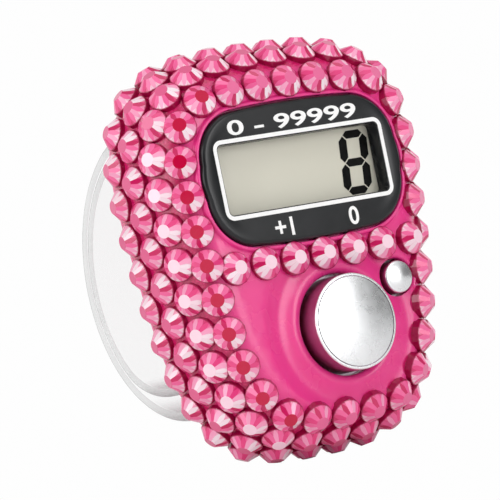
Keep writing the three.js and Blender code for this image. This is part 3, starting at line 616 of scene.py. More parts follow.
def rowSeat(angle, row):
    # rows lie a little nearer to the face across the top
    nx, nz = rimNormal(angle)
    y = stones["depths"][row] - stones["lift"] * max(nz, 0) ** 2
    _, out, front = surfaceAt(angle, y)
    length = math.hypot(out, front)
    return surfacePoint(angle, y), (nx * out / length, -front / length, nz * out / length)


def dividerSeat(x):
    # the row across the face ends on the rounded edge
    angle = math.atan2(math.copysign(body["halfWidth"], x), stones["dividerZ"] - body["halfHeight"])
    inset, depth = edgeSize(angle)
    reach = max(0.0, abs(x) - abs(rim(angle)[0]) + inset) / inset
    rest = math.sqrt(1 - reach ** 2)
    normal = Vector((math.copysign(depth * reach, x), -inset * rest, 0.0)).normalized()
    return (x, depth * (1 - rest), stones["dividerZ"]), tuple(normal)


def paintedTableReflection(row, normal):
    # painted reflection: on the left the first row's tables are the deepest and the second row's the palest
    left, up = normal[0] < stones["left"], normal[2]
    if row == 0:
        return stones["firstLeftTable" if left and abs(up) < stones["level"] else "firstTable"]
    return stones["secondLeftTable" if row == 1 and left and up < stones["notUp"] else "table"]


def stoneSeats():
    # each stone's place, the way it faces, the way its painted highlight facets point, and its table's
    # painted reflection tone
    middle = (stones["divider"] - 1) / 2
    across = [dividerSeat(stones["dividerX"] + (i - middle) * stones["dividerPitch"])
              for i in range(stones["divider"])]
    seats = [(*seat, stones["dividerPaintedHighlightSide"], stones["dividerTable"]) for seat in across]

    def firstPath(angle):
        x, _, z = rowSeat(angle, 0)[0]
        return x, z

    def addSeat(row, angle):
        spot, normal = rowSeat(angle, row)
        seats.append((spot, normal, stones["paintedHighlightSide"][row], paintedTableReflection(row, normal)))

    for a in evenAngles(firstPath, stones["firstRow"], stones["firstPhase"]):
        if all(math.dist(rowSeat(a, 0)[0], other[0]) > stones["nearest"] for other in across):
            addSeat(0, a)
    for row in range(1, len(stones["depths"])):
        for a in evenAngles(rim, stones["row"], stones["phase"] + (0 if row % 2 else 0.5)):
            addSeat(row, a)
    return seats


def newTree(name, inputs):
    tree = bpy.data.node_groups.new(name, "GeometryNodeTree")
    tree.interface.new_socket("Geometry", in_out="INPUT", socket_type="NodeSocketGeometry")
    sockets = {}
    for label, kind in inputs:
        sockets[label] = tree.interface.new_socket(label, in_out="INPUT", socket_type="NodeSocket" + kind)
    tree.interface.new_socket("Geometry", in_out="OUTPUT", socket_type="NodeSocketGeometry")
    given = tree.nodes.new("NodeGroupInput")
    made = tree.nodes.new("NodeGroupOutput")
    return tree, sockets, given.outputs, made.inputs[0]


def bakeNodes(name, base, tree, sockets, values):
    # runs the tree on a mesh of points and gives the result as a plain mesh
    carrier = newObject(name, base)
    modifier = carrier.modifiers.new("nodes", "NODES")
    modifier.node_group = tree
    for label, value in values.items():
        modifier[sockets[label].identifier] = value
    mesh = plainMesh(carrier)
    carrier.modifiers.remove(modifier)
    bpy.data.objects.remove(carrier)
    mesh.name = name
    return mesh


def pointMesh(name, seats, attributes):
    mesh = bpy.data.meshes.new(name)
    mesh.from_pydata([place(seat[0]) for seat in seats], [], [])
    for label, part in (("facing", 1), ("across", 2)):
        vectors = mesh.attributes.new(label, "FLOAT_VECTOR", "POINT")
        vectors.data.foreach_set("vector", [c for seat in seats for c in seat[part]])
    for label, values in attributes.items():
        mesh.attributes.new(label, "FLOAT", "POINT").data.foreach_set("value", values)
    return mesh


def shifted(solid, height):
    up = addNode(solid.id_data, "ShaderNodeCombineXYZ", Z=height).outputs[0]
    return addNode(solid.id_data, "GeometryNodeTransform", Geometry=solid.outputs["Mesh"],
                   Translation=up).outputs["Geometry"]


def setOnPoints(tree, given, shape, spinFrom, spinTo):
    # each point's instance faces the point's own way, with a random turn about that way
    ways = [addNode(tree, "GeometryNodeInputNamedAttribute", {"data_type": "FLOAT_VECTOR"},
                    Name=label).outputs["Attribute"] for label in ("facing", "across")]
    align = addNode(tree, "FunctionNodeAxesToRotation", {"primary_axis": "Z", "secondary_axis": "X"},
                    Primary_Axis=ways[0], Secondary_Axis=ways[1])
    spin = addNode(tree, "FunctionNodeRandomValue", {"data_type": "FLOAT"}, i2=spinFrom, i3=spinTo,
                   Seed=given["Seed"])
    turn = addNode(tree, "FunctionNodeAxisAngleToRotation", Axis=(0, 0, 1), Angle=spin.outputs[1])
    both = addNode(tree, "FunctionNodeRotateRotation", {"rotation_space": "LOCAL"},
                   Rotation=align.outputs["Rotation"], Rotate_By=turn.outputs["Rotation"])
    return addNode(tree, "GeometryNodeInstanceOnPoints", Points=given["Geometry"], Instance=shape,
                   Rotation=both.outputs["Rotation"]).outputs["Instances"]


def finishTree(tree, given, made, instances):
    real = addNode(tree, "GeometryNodeRealizeInstances", Geometry=instances)
    finish = addNode(tree, "GeometryNodeSetMaterial", Geometry=real.outputs["Geometry"],
                     Material=given["Finish"])
    tree.links.new(finish.outputs["Geometry"], made)


def stoneTree():
    tree, sockets, given, made = newTree("stoneSetting", [
        ("Diameter", "Float"), ("Height", "Float"), ("Table Share", "Float"), ("Girdle", "Float"),
        ("Sink", "Float"), ("Facets", "Int"), ("Spin", "Float"), ("Seed", "Int"), ("Finish", "Material")])
    radius = calc("MULTIPLY", given["Diameter"], 0.5)
    crown = addNode(tree, "GeometryNodeMeshCone", {"fill_type": "NGON"}, Vertices=given["Facets"],
                    Radius_Top=calc("MULTIPLY", radius, given["Table Share"]), Radius_Bottom=radius,
                    Depth=calc("SUBTRACT", given["Height"], given["Girdle"]))
    foot = addNode(tree, "GeometryNodeMeshCylinder", {"fill_type": "NGON"}, Vertices=given["Facets"],
                   Radius=radius, Depth=calc("ADD", given["Girdle"], given["Sink"]))
    middle = calc("MULTIPLY", calc("SUBTRACT", given["Girdle"], given["Sink"]), 0.5)
    both = addNode(tree, "GeometryNodeJoinGeometry")
    for part in (shifted(crown, given["Girdle"]), shifted(foot, middle)):
        tree.links.new(part, both.inputs[0])
    local = addNode(tree, "GeometryNodeStoreNamedAttribute", {"data_type": "FLOAT_VECTOR", "domain": "POINT"},
                    Geometry=both.outputs[0], Name="stonePlace",
                    Value=addNode(tree, "GeometryNodeInputPosition").outputs[0])
    placed = setOnPoints(tree, given, local.outputs["Geometry"], calc("MULTIPLY", given["Spin"], -1.0),
                         given["Spin"])
    tone = addNode(tree, "FunctionNodeRandomValue", {"data_type": "FLOAT"},
                   Seed=calc("ADD", given["Seed"], 1.0))
    mark = addNode(tree, "GeometryNodeStoreNamedAttribute", {"data_type": "FLOAT", "domain": "INSTANCE"},
                   Geometry=placed, Name="stoneTone", Value=tone.outputs[1])
    finishTree(tree, given, made, mark.outputs["Geometry"])
    return tree, sockets


def buildStones(material):
    seats = stoneSeats()
    base = pointMesh("stoneSeats", seats, {"paintedTableReflection": [seat[3] for seat in seats]})
    mesh = bakeNodes("rhinestones", base, *stoneTree(), {
        "Diameter": stones["diameter"] * mm, "Height": stones["height"] * mm,
        "Table Share": stones["tableShare"], "Girdle": stones["girdle"] * mm, "Sink": stones["sink"] * mm,
        "Facets": stones["facets"], "Spin": stones["spin"], "Seed": stones["seed"], "Finish": material})
    addObject("rhinestones", mesh, material)


# bezel with its printed frame and numbers

printing = {
    "frameWidth": 0.42, "frameGap": 0.12, "frameCorner": 0.6, "frameOuterCorner": 1.0, "thickness": 0.03,
    "sunk": 0.01, "extrude": 0.015, "thicken": 0.018,
    # text, x, z, height and, where it is stretched, width
    "labels": [("0 - 99999", -0.3, 33.15, 1.55, 16.2), ("+1", -3.9, 22.35, 1.9, 0),
               ("0", 4.9, 22.35, 1.9, 0)],
}


def buildBezel(material):
    edge, proud, seat, end = bezel["edge"], bezel["proud"], bezel["seat"], bezel["skirtEnd"]
    small, steps = bezel["windowRounding"], bezel["edgeSteps"]
    rings = [[(x, seat, z) for x, z in bezelLine(0)]]
    for j in range(steps + 1):
        turn = j / steps * math.pi / 2
        grow, y = -edge * (1 - math.cos(turn)), -proud + edge * (1 - math.sin(turn))
        rings.append([(x, y, z) for x, z in bezelLine(grow)])
    for grow, y in ((small, -proud), (small * 0.3, -proud + small * 0.3), (0, -proud + small), (0, end)):
        rings.append([(x, y, z) for x, z in windowLine(grow, bezel["windowCorner"] + grow)])
    skirt = windowLine(bezel["skirtWall"], bezel["skirtCorner"])
    rings += [[(x, y, z) for x, z in skirt] for y in (end, seat)]
    piece = addPiece("bezelFrame", *loft(rings, loop=True), material, "black_plastic", 40)
    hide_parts("bezel")


def buildPrinting(ink):
    foot, front = -bezel["proud"] + printing["sunk"], -bezel["proud"] - printing["thickness"]
    gap, wide = printing["frameGap"], printing["frameWidth"]
    inner = windowLine(gap, printing["frameCorner"])
    outer = windowLine(gap + wide, printing["frameOuterCorner"])
    rings = [[(x, y, z) for x, z in line]
             for line, y in ((inner, foot), (inner, front), (outer, front), (outer, foot))]
    addPiece("printedFrame", *loft(rings, loop=True), ink, "white_plastic")
    for number, (text, x, z, height, width) in enumerate(printing["labels"]):
        curve = bpy.data.curves.new("label", "FONT")
        curve.body, curve.align_x, curve.align_y = text, "CENTER", "CENTER"
        curve.size, curve.extrude, curve.offset = 1.0, printing["extrude"], printing["thicken"]
        carrier = newObject("label", curve)
        mesh = plainMesh(carrier)
        bpy.data.objects.remove(carrier)
        corners = np.array([v.co for v in mesh.vertices])
        low, high = corners.min(axis=0), corners.max(axis=0)
        scale = height / (high[1] - low[1])
        stretch = width / (high[0] - low[0]) if width else scale
        for vertex in mesh.vertices:
            u = (vertex.co.x - (low[0] + high[0]) / 2) * stretch
            v = (vertex.co.y - (low[1] + high[1]) / 2) * scale
            w = (vertex.co.z - low[2]) / (high[2] - low[2])
            vertex.co = place((x + u, foot + w * (front - foot), z + v))
        finishMesh(mesh, 30)
        addObject(f"printedNumber{number + 1}", mesh, ink)


# display digit: seven dark segments with pointed ends

digit = {"x": 7.85, "z": 27.9, "width": 3.6, "height": 6.7, "stroke": 0.98, "bar": 0.82, "gap": 0.10,
         "slant": 0.10, "front": 1.3, "thickness": 0.04, "sunk": 0.01}


def buildDigit(material):
    w, h = digit["width"] / 2 - digit["stroke"] / 2, digit["height"] / 2 - digit["bar"] / 2
    corners = {"topLeft": (-w, h), "topRight": (w, h), "left": (-w, 0), "right": (w, 0),
               "lowLeft": (-w, -h), "lowRight": (w, -h)}
    runs = [("topLeft", "topRight"), ("left", "right"), ("lowLeft", "lowRight"), ("left", "topLeft"),
            ("right", "topRight"), ("lowLeft", "left"), ("lowRight", "right")]
    points, faces = [], []
    for a, b in runs:
        (ax, az), (bx, bz) = corners[a], corners[b]
        length = math.hypot(bx - ax, bz - az)
        ux, uz = (bx - ax) / length, (bz - az) / length
        thick = (digit["bar"] if abs(ux) > 0.5 else digit["stroke"]) / 2
        near, far = digit["gap"], length - digit["gap"]
        shape = [(near, 0), (near + thick, thick), (far - thick, thick), (far, 0),
                 (far - thick, -thick), (near + thick, -thick)]
        first = len(points)
        for y in (digit["front"] - digit["thickness"], digit["front"] + digit["sunk"]):
            for along, across in shape:
                x = ax + ux * along - uz * across
                z = az + uz * along + ux * across
                points.append((digit["x"] + x + digit["slant"] * z, y, digit["z"] + z))
        n = len(shape)
        faces += [tuple(range(first, first + n)), tuple(range(first + n, first + 2 * n))]
        faces += ringFaces(first, first + n, n)
    addPiece("displayDigit", points, faces, material, "display_film", 30)


# chromed buttons

buttons = {
    "countRadius": 5.0, "countProud": 2.0, "countDome": 0.35, "countRounding": 0.15, "rim": 0.38,
    "grooveDepth": 0.14, "countHollow": 0.8, "countWall": 1.2, "countStemRadius": 1.2,
    "resetRadius": 1.7, "resetProud": 0.45, "resetDome": 0.3, "resetRounding": 0.2, "resetStemRadius": 1.0,
    "stemEnd": 2.55, "flangeFront": 2.0, "flangeThickness": 0.6, "flangeWidth": 0.75,
    "shadedBehind": 0.25, "shadedRing": 0.1, "grooveOut": (0.02, 0.09, 0.11), "domeSteps": 16,
    "roundingSteps": 6, "countSides": 144, "resetSides": 72,
}


def capProfile(key, rimWidth):
    # the front of a cap and its flange, as pairs of radius and depth
    radius, proud, dome, rounding = (buttons[key + part] for part in ("Radius", "Proud", "Dome", "Rounding"))
    domeRadius = radius - (rimWidth or rounding)
    profile = [(0, -proud - dome)]
    for i in range(1, buttons["domeSteps"] + 1):
        share = i / buttons["domeSteps"]
        profile.append((domeRadius * share, -proud - dome * (1 - share * share)))
    if rimWidth:
        groove, out = -proud + buttons["grooveDepth"], [domeRadius + r for r in buttons["grooveOut"]]
        profile += [*zip(out, (groove, groove, -proud)), (radius - rounding, -proud)]
    for i in range(1, buttons["roundingSteps"] + 1):
        turn = i / buttons["roundingSteps"] * math.pi / 2
        profile.append((radius - rounding * (1 - math.sin(turn)), -proud + rounding * (1 - math.cos(turn))))
    wide, front = radius + buttons["flangeWidth"], buttons["flangeFront"]
    return profile + [(radius, front), (wide, front), (wide, front + buttons["flangeThickness"])]


def buildCap(key, profile, chrome, side, groove):
    solid = turned(wells[key + "X"], wells[key + "Z"], profile, buttons[key + "Sides"])
    cap = addPiece(key + "Cap", *solid, chrome, "chrome_cap", 25, key + "_key")
    # painted shade: the walls, the flange and the ring round the dome get a darker chrome, tinted by a
    # painted reflection of the pink well
    cap.data.materials.append(side)
    x, y, z = place((wells[key + "X"], buttons["shadedBehind"] - buttons[key + "Proud"], wells[key + "Z"]))
    for polygon in cap.data.polygons:
        out = math.hypot(polygon.center.x - x, polygon.center.z - z) / mm
        if polygon.center.y > y or groove[0] < out < groove[1]:
            polygon.material_index = 1
    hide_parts(key + "_button")


def buildButtons(chrome, side):
    back, end = buttons["flangeFront"] + buttons["flangeThickness"], buttons["stemEnd"]
    inside, hollow = buttons["countRadius"] - buttons["countWall"], buttons["countHollow"]
    stem = buttons["countStemRadius"]
    profile = capProfile("count", buttons["rim"])
    profile += [(inside, back), (inside, hollow), (stem, hollow), (stem, end), (0, end)]
    dome = buttons["countRadius"] - buttons["rim"]
    buildCap("count", profile, chrome, side, (dome, dome + buttons["shadedRing"]))
    stem = buttons["resetStemRadius"]
    profile = capProfile("reset", 0) + [(stem, back), (stem, end), (0, end)]
    buildCap("reset", profile, chrome, side, (0, 0))


# clear band: two straps that overlap, and the stud that joins them

band = {
    "centreY": 15.9, "centreZ": 20.7, "radius": 15.8, "width": 17.6, "thickness": 0.95, "gap": 0.15,
    "innerLeaves": -42, "innerEnd": -105, "curl": 0.06, "curlEase": 12, "outerEnd": 98, "corner": 0.28,
    "tipRadius": 2.6, "rootDepth": 0.2, "steps": 96, "edgeFacing": 0.3, "tipEnd": 0.1,
}
insideRadius = band["radius"] - band["thickness"] - band["gap"]
stud = {
    "angle": -15.3, "radius": 0.9, "lowGap": 0.25, "highGap": 0.1, "sides": 48,
    # radius and depth under the inner strap, and radius and height over the outer one
    "head": [(0, 0.6), (0.8, 0.582), (1.25, 0.48), (1.6, 0.3), (1.7, 0.12), (1.65, 0.0)],
    "cap": [(1.4, 0.0), (1.35, 0.2), (1.0, 0.33), (0, 0.35)],
}


def bandPoint(radius, degrees):
    turn = math.radians(degrees)
    return band["centreY"] + radius * math.cos(turn), band["centreZ"] + radius * math.sin(turn)


def buildStrap(name, node, radius, start, end, material, edge):
    steps, half, thick, tip = band["steps"], band["width"] / 2, band["thickness"], band["tipRadius"]
    length, ease = math.radians(abs(end - start)) * radius, band["curlEase"]
    rings = []
    for i in range(steps + 1):
        degrees = start + (end - start) * i / steps
        past = max(0.0, band["innerLeaves"] - degrees) if node == "inner_strap" else 0.0
        middle = radius - thick / 2 - band["curl"] * (math.hypot(past, ease) - ease)
        left = length * (1 - i / steps)
        rounded = max(0.0, tip - left)
        wide = half - tip + max(math.sqrt(tip * tip - rounded * rounded), band["tipEnd"])
        ring = roundedBox(wide, thick / 2, band["corner"], 0, cornerSteps=4, sideSteps=3)
        rings.append([(x, *bandPoint(middle + up, degrees)) for x, up in ring])
    strap = addPiece(name, *loft(rings), material, "clear_band", 50)
    # painted shade: faces that look sideways, the straps' edges, get a darker grey copy of the clear finish
    strap.data.materials.append(edge)
    for polygon in strap.data.polygons:
        if abs(polygon.normal.x) > band["edgeFacing"]:
            polygon.material_index = 1
    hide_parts(node)


def buildBand(clear, edge):
    for name, node, radius, side, end in (("outerStrap", "outer_strap", band["radius"], -1, band["outerEnd"]),
                                          ("innerStrap", "inner_strap", insideRadius, 1, band["innerEnd"])):
        root = (body["coverFront"] + band["rootDepth"] - band["centreY"]) / (radius - band["thickness"] / 2)
        buildStrap(name, node, radius, side * math.degrees(math.acos(root)), end, clear, edge)
    low, high = insideRadius - band["thickness"] - stud["lowGap"], band["radius"] + stud["highGap"]
    profile = [(r, low - y) for r, y in stud["head"]] + [(stud["radius"], low), (stud["radius"], high)]
    profile += [(r, high + y) for r, y in stud["cap"]]
    points, faces = turned(0, 0, profile, stud["sides"])
    turn = math.radians(stud["angle"])
    moved = [(x, band["centreY"] + up * math.cos(turn) - across * math.sin(turn),
              band["centreZ"] + up * math.sin(turn) + across * math.cos(turn)) for x, up, across in points]
    piece = addPiece("bandStud", moved, faces, clear, "clear_band", 40)
    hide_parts("strap_stud")


# back cover

cover = {
    "screws": [(-10.8, 35.1), (10.8, 35.1), (-10.3, 10.6), (10.3, 10.6)], "sinkRadius": 1.65,
    "slotHalfWidth": 8.95, "slotReach": 0.775, "slotCorner": 0.2, "slotDepth": 0.3, "edgeSteps": 8,
    "sinkSides": 32,
}


def strapHeight(radius, side):
    middle = radius - band["thickness"] / 2
    turn = math.acos((body["depth"] + cover["slotDepth"] - band["centreY"]) / middle)
    return band["centreZ"] + side * middle * math.sin(turn)


def buildBackCover(material):
    front, back = body["coverFront"], body["depth"]
    angles = evenAngles(rim, body["points"], 0)
    outline = [rimOffset(a, -body["backInset"]) for a in angles]
    gap, steps = door["gap"], cover["edgeSteps"]
    holes = [roundedBox(door["width"] / 2 + gap, (door["top"] - door["bottom"]) / 2 + gap,
                        door["corner"] + gap, (door["top"] + door["bottom"]) / 2, cornerSteps=8, sideSteps=4)]
    holes += [circle(x, z, cover["sinkRadius"], cover["sinkSides"]) for x, z in cover["screws"]]
    for radius, side in ((band["radius"], -1), (insideRadius, 1)):
        holes.append(roundedBox(cover["slotHalfWidth"], cover["slotReach"], cover["slotCorner"],
                                strapHeight(radius, side), cornerSteps=3, sideSteps=8))
    flat, loops = list(outline), [list(range(len(outline)))]
    for hole in holes:
        loops.append(list(range(len(flat), len(flat) + len(hole))))
        flat += hole
    count, n, last = len(flat), len(outline), 0
    points = [(x, y, z) for y in (back, front) for x, z in flat]
    faces = doubleSheet(triangulate(flat, loops, outline, holes), loops, count)
    for j in range(1, steps + 1):
        first = len(points)
        for a in angles:
            depth = edgeSize(a)[1]
            least = math.asin((front - depth) / (back - depth))
            turn = math.pi / 2 + (least - math.pi / 2) * j / steps
            points.append(surfacePoint(a, depth + (back - depth) * math.sin(turn)))
        faces += ringFaces(last, first, n)
        last = first
    faces += ringFaces(last, count, n)
    piece = addPiece("backCover", points, faces, material, "pink_plastic", 40)
    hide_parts("back_cover")


# screws in the back, set by Geometry Nodes

screws = {
    "headRadius": 1.45, "headHeight": 0.75, "slotWidth": 0.35, "slotDepth": 0.35, "chamfer": 0.2,
    "sunk": 0.1, "sides": 28, "seed": 3,
}


def screwTree():
    tree, sockets, given, made = newTree("screwSetting", [
        ("Head Radius", "Float"), ("Head Height", "Float"), ("Slot Width", "Float"), ("Slot Depth", "Float"),
        ("Chamfer", "Float"), ("Sides", "Int"), ("Seed", "Int"), ("Finish", "Material")])
    radius, chamfer = given["Head Radius"], given["Chamfer"]
    lower = addNode(tree, "GeometryNodeMeshCylinder", {"fill_type": "NGON"}, Vertices=given["Sides"],
                    Radius=radius, Depth=calc("SUBTRACT", given["Head Height"], chamfer))
    middle = calc("MULTIPLY", calc("ADD", given["Head Height"], chamfer), -0.5)
    upper = addNode(tree, "GeometryNodeMeshCone", {"fill_type": "NGON"}, Vertices=given["Sides"],
                    Radius_Top=calc("SUBTRACT", radius, chamfer), Radius_Bottom=radius, Depth=chamfer)
    head = addNode(tree, "GeometryNodeMeshBoolean", {"operation": "UNION"})
    for part in (shifted(lower, middle), shifted(upper, calc("MULTIPLY", chamfer, -1.0))):
        tree.links.new(part, head.inputs["Mesh 2"])
    size = addNode(tree, "ShaderNodeCombineXYZ", X=calc("MULTIPLY", radius, 3.0), Y=given["Slot Width"],
                   Z=calc("MULTIPLY", given["Slot Depth"], 2.0))
    groove = addNode(tree, "GeometryNodeMeshCube", Size=size.outputs[0])
    cut = addNode(tree, "GeometryNodeMeshBoolean", {"operation": "DIFFERENCE"}, Mesh_1=head.outputs["Mesh"],
                  Mesh_2=groove.outputs["Mesh"])
    finishTree(tree, given, made, setOnPoints(tree, given, cut.outputs["Mesh"], 0.0, 2 * math.pi))
    return tree, sockets


def buildScrews(steel):
    seats = [((x, body["depth"] - screws["sunk"], z), (0.0, 1.0, 0.0), (1.0, 0.0, 0.0))
             for x, z in cover["screws"]]
    mesh = bakeNodes("coverScrews", pointMesh("screwSeats", seats, {}), *screwTree(), {
        "Head Radius": screws["headRadius"] * mm, "Head Height": screws["headHeight"] * mm,
        "Slot Width": screws["slotWidth"] * mm, "Slot Depth": screws["slotDepth"] * mm,
        "Chamfer": screws["chamfer"] * mm, "Sides": screws["sides"], "Seed": screws["seed"], "Finish": steel})
    piece = addObject("coverScrews", mesh, steel)
    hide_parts("cover_screw_1", "cover_screw_2", "cover_screw_3", "cover_screw_4")


# finishes

# painted shade under the stones: depth behind the face where it starts and is full, size of its speckles, and
# tones
stoneShade = {
    "from": 0.42, "to": 0.95, "speckle": 3200,
    "tones": [(0.35, (0.58, 0.005, 0.11)), (0.55, (0.72, 0.012, 0.15)), (0.75, (0.86, 0.05, 0.25))],
}


def paintedShadeUnderStones(material):
    # painted shade: the rounded edge, where the stones sit, is painted a deeper and slightly speckled pink
    # for the shade between the stones
    tree = material.node_tree
    shader = tree.nodes["Principled BSDF"]
    plain = shader.inputs["Base Color"].links[0].from_socket
    depth = addNode(tree, "ShaderNodeSeparateXYZ", Vector=objectCoordinates(tree)).outputs["Y"]
    share = mapRange(depth, faceY + stoneShade["from"] * mm, faceY + stoneShade["to"] * mm)
    speckled = ramp(noise(tree, stoneShade["speckle"], 3.0), stoneShade["tones"])
    feed(shader, Base_Color=mixColour(share, plain, speckled))


pinkGloss = surface("glossyPinkPlastic", (0.84, 0.028, 0.25), (0.90, 0.044, 0.285), 0.26, patch=120,
                    grain=900, grainDepth=0.003, Coat_Weight=0.25, Coat_Roughness=0.12,
                    Subsurface_Weight=0.08, Subsurface_Scale=0.001)
paintedShadeUnderStones(pinkGloss)
pinkGrained = surface("grainedPinkPlastic", (0.82, 0.028, 0.24), (0.88, 0.042, 0.275), 0.34, patch=200,
                      grain=5200, grainDepth=0.02)
blackGloss = surface("glossyBlackPlastic", (0.010, 0.011, 0.012), (0.018, 0.019, 0.021), 0.20, patch=200,
                     grain=1500, grainDepth=0.002, Specular_IOR_Level=0.25, Coat_Weight=0.2,
                     Coat_Roughness=0.25)
blackDull = surface("dullBlackResin", (0.012, 0.012, 0.013), (0.03, 0.03, 0.03), 0.45)
whiteInk = surface("whiteInk", (0.94, 0.94, 0.93), (0.98, 0.98, 0.97), 0.4, patch=2500, grainDepth=0.003)
segmentInk = surface("displaySegment", (0.003, 0.003, 0.003), (0.006, 0.006, 0.006), 0.6,
                     Specular_IOR_Level=0.1)
offWhite = surface("offWhitePlastic", (0.70, 0.69, 0.64), (0.82, 0.81, 0.77), 0.5)
chrome = surface("chromedPlastic", (0.84, 0.85, 0.86), (0.90, 0.91, 0.92), 0.27, patch=300, grain=2500,
                 grainDepth=0.0002, Metallic=1.0)
# painted shade: a darker, pink-tinted copy of the chrome for the caps' walls, flanges and groove ring
paintedShadeChrome = surface("shadedChrome", (0.40, 0.33, 0.38), (0.48, 0.41, 0.46), 0.30, patch=300, grain=2500,
                  grainDepth=0.0008, Metallic=1.0)
steel = surface("platedSteel", (0.52, 0.53, 0.55), (0.66, 0.67, 0.69), 0.28, Metallic=1.0)
brass = surface("springBrass", (0.66, 0.50, 0.22), (0.78, 0.62, 0.32), 0.3, Metallic=1.0)
ceramic = surface("tanCeramic", (0.45, 0.34, 0.20), (0.58, 0.44, 0.27), 0.5)
clearBand = clearMaterial("clearSoftPlastic", (0.46, 0.48, 0.475), (0.58, 0.60, 0.59), 0.03, 0.85)
# painted shade: darker grey clear finish for the straps' edge faces
paintedEdgeShade = clearMaterial("clearPlasticEdgeShade", (0.34, 0.36, 0.355), (0.46, 0.48, 0.47), 0.32, 0.65, 0.12)
clearLens = clearMaterial("clearWindow", (0.55, 0.56, 0.55), (0.65, 0.66, 0.65), 0.0, 0.08, 0.05)
displayGlass = surface("displayGlass", (0.55, 0.57, 0.53), (0.62, 0.64, 0.60), 0.08)
displayFilm = displayMaterial()
rhinestone = rhinestoneMaterial()
circuit = circuitMaterial()
layered = stripeMaterial()

keptNodes = [
    (pinkGrained, "battery_door"), (clearLens, "window_lens"), (displayFilm, "front_polariser"),
    (displayGlass, "display_front_glass display_rear_glass display_reflector"),
    (offWhite, "display_holder count_switch_plunger reset_switch_plunger"), (layered, "connector_strip"),
    (circuit, "circuit_board"), (blackDull, "counter_chip count_switch_body reset_switch_body"),
    (ceramic, "capacitor"), (brass, "negative_contact positive_contact"),
    (steel, "button_cell board_screw_1 board_screw_2 door_screw"),
]
for finish, names in keptNodes:
    for nodeName in names.split():
        if not nodes[nodeName].material_slots:
            nodes[nodeName].data.materials.append(finish)
        for materialSlot in nodes[nodeName].material_slots:
            materialSlot.material = finish
print("finishes ready")

buildShell(pinkGloss)
print("shell ready")
buildStones(rhinestone)
print("rhinestones ready")
buildBezel(blackGloss)
buildPrinting(whiteInk)
buildDigit(segmentInk)
print("display ready")
buildButtons(chrome, paintedShadeChrome)
print("buttons ready")
buildBand(clearBand, paintedEdgeShade)
print("band ready")
buildBackCover(pinkGrained)
buildScrews(steel)
print("back ready")

# stage, light and camera

stage = {
    "floor": 0.9, "floorDrift": 0.02, "floorSize": 4.0, "background": (0.99, 0.99, 0.99), "ambient": 0.60,
    # in metres, where the floor fades out for the camera, and how flat it lies to the view there
    "foot": (0.0, -0.009, 0.0), "fade": (0.003, 0.012), "edgeOn": (0.93, 0.97), "aim": (0.0, -0.012, 0.022),
}
lamps = [  # name, direction, distance, size, power
    ("leftSoftbox", (-0.95, -0.10, 0.28), 0.35, (0.24, 0.30), 0.44),
    ("frontSoftbox", (0.30, -0.95, 0.16), 0.40, (0.17, 0.22), 0.38),
    ("topSoftbox", (0.05, -0.30, 0.95), 0.45, (0.40, 0.40), 0.40),
]
# what shiny surfaces see in the studio: direction, width inside and outside in degrees, brightness
reflectedCards = [
    ("cameraSide", (-0.62, -0.77, 0.06), 17, 32, 0.05),
    ("rightFlag", (0.86, -0.50, 0.04), 12, 34, 0.12),
]
reflectedTop = {"from": 0.25, "to": 0.85, "brightness": 0.45}
camera = {
    "right": (0.8182, -0.5392, -0.1995), "up": (0.1424, -0.1461, 0.9789),
    "target": (-5.63, -11.02, 22.24), "distance": 400.0, "viewWidth": 51.285, "sensor": 36.0,
    "clip": (0.01, 20.0),
}


def buildFloor():
    half = stage["floorSize"] / 2
    mesh = bpy.data.meshes.new("floor")
    corners = [(-half, -half, 0), (half, -half, 0), (half, half, 0), (-half, half, 0)]
    mesh.from_pydata(corners, [], [(0, 1, 2, 3)])
    floor = newObject("floor", mesh)
    material, tree, shader = newMaterial("paleFloor")
    shade = stage["floor"]
    tone = drift(tree, 30, (shade,) * 3, (shade + stage["floorDrift"],) * 3)
    feed(shader, Base_Color=tone, Roughness=0.6)
    # for the camera the floor fades into the white background round the object, and where it is edge on
    ray = addNode(tree, "ShaderNodeLightPath").outputs["Is Camera Ray"]
    below = addNode(tree, "ShaderNodeNewGeometry").outputs["Backfacing"]
    away = addNode(tree, "ShaderNodeVectorMath", {"operation": "DISTANCE"}, i0=objectCoordinates(tree),
                   i1=stage["foot"]).outputs["Value"]
    facing = addNode(tree, "ShaderNodeLayerWeight", Blend=0.5).outputs["Facing"]
    hidden = calc("MAXIMUM", below, mapRange(facing, *stage["edgeOn"]))
    hidden = calc("MAXIMUM", hidden, mapRange(away, *stage["fade"], smooth=True))
    through = addNode(tree, "ShaderNodeBsdfTransparent").outputs[0]
    mix = addNode(tree, "ShaderNodeMixShader", Fac=calc("MULTIPLY", ray, hidden),
                  i1=shader.outputs["BSDF"], i2=through)
    feed(tree.nodes["Material Output"], Surface=mix.outputs[0])
    mesh.materials.append(material)


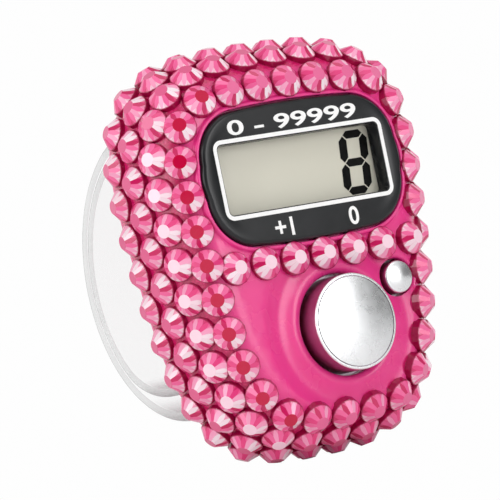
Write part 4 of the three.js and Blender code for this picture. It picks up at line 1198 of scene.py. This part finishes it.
def buildWorld():
    # the camera sees white; shiny surfaces see white with a few darker cards; the rest is soft light
    world = bpy.data.worlds.new("studio")
    bpy.context.scene.world = world
    world.use_nodes = True
    tree = world.node_tree
    tree.nodes.clear()
    ray = addNode(tree, "ShaderNodeLightPath").outputs
    direction = addNode(tree, "ShaderNodeTexCoord").outputs["Generated"]
    up = addNode(tree, "ShaderNodeSeparateXYZ", Vector=direction).outputs["Z"]
    seen = mapRange(up, reflectedTop["from"], reflectedTop["to"], 1.0, reflectedTop["brightness"], True)
    for name, toward, inner, outer, brightness in reflectedCards:
        dot = addNode(tree, "ShaderNodeVectorMath", {"operation": "DOT_PRODUCT", "label": name}, i0=direction,
                      i1=Vector(toward).normalized()).outputs["Value"]
        share = mapRange(dot, math.cos(math.radians(outer)), math.cos(math.radians(inner)), 1.0,
                         brightness, True)
        seen = calc("MULTIPLY", seen, share)

    def background(colour, strength):
        return addNode(tree, "ShaderNodeBackground", Color=colour, Strength=strength).outputs[0]

    shiny = addNode(tree, "ShaderNodeMixShader", Fac=ray["Is Glossy Ray"],
                    i1=background((1.0, 1.0, 1.0), stage["ambient"]), i2=background((1.0, 1.0, 1.0), seen))
    direct = calc("MAXIMUM", ray["Is Camera Ray"], ray["Is Transmission Ray"])
    mix = addNode(tree, "ShaderNodeMixShader", Fac=direct, i1=shiny.outputs[0],
                  i2=background(stage["background"], 1.0))
    addNode(tree, "ShaderNodeOutputWorld", Surface=mix.outputs[0])


def buildLamps():
    for name, direction, distance, size, power in lamps:
        lamp = bpy.data.lights.new(name, "AREA")
        lamp.shape, lamp.size, lamp.size_y, lamp.energy = "RECTANGLE", size[0], size[1], power
        holder = newObject(name, lamp)
        away = Vector(direction).normalized()
        holder.location = Vector(stage["aim"]) + away * distance
        holder.rotation_mode = "QUATERNION"
        holder.rotation_quaternion = (-away).to_track_quat("-Z", "Y")
        holder.visible_camera = False


def buildCamera():
    right, up = Vector(camera["right"]).normalized(), Vector(camera["up"])
    up = (up - right * up.dot(right)).normalized()
    toward = right.cross(up)
    lens = bpy.data.cameras.new("photoCamera")
    holder = newObject("photoCamera", lens)
    spot = Vector(camera["target"]) * mm + toward * camera["distance"] * mm
    holder.matrix_world = Matrix.Translation(spot) @ Matrix((right, up, toward)).transposed().to_4x4()
    lens.sensor_width = camera["sensor"]
    lens.lens = camera["sensor"] * camera["distance"] / camera["viewWidth"]
    lens.clip_start, lens.clip_end = camera["clip"]
    bpy.context.scene.camera = holder


buildFloor()
buildWorld()
buildLamps()
buildCamera()
bpy.context.scene.view_settings.view_transform = "Standard"
print("stage ready")
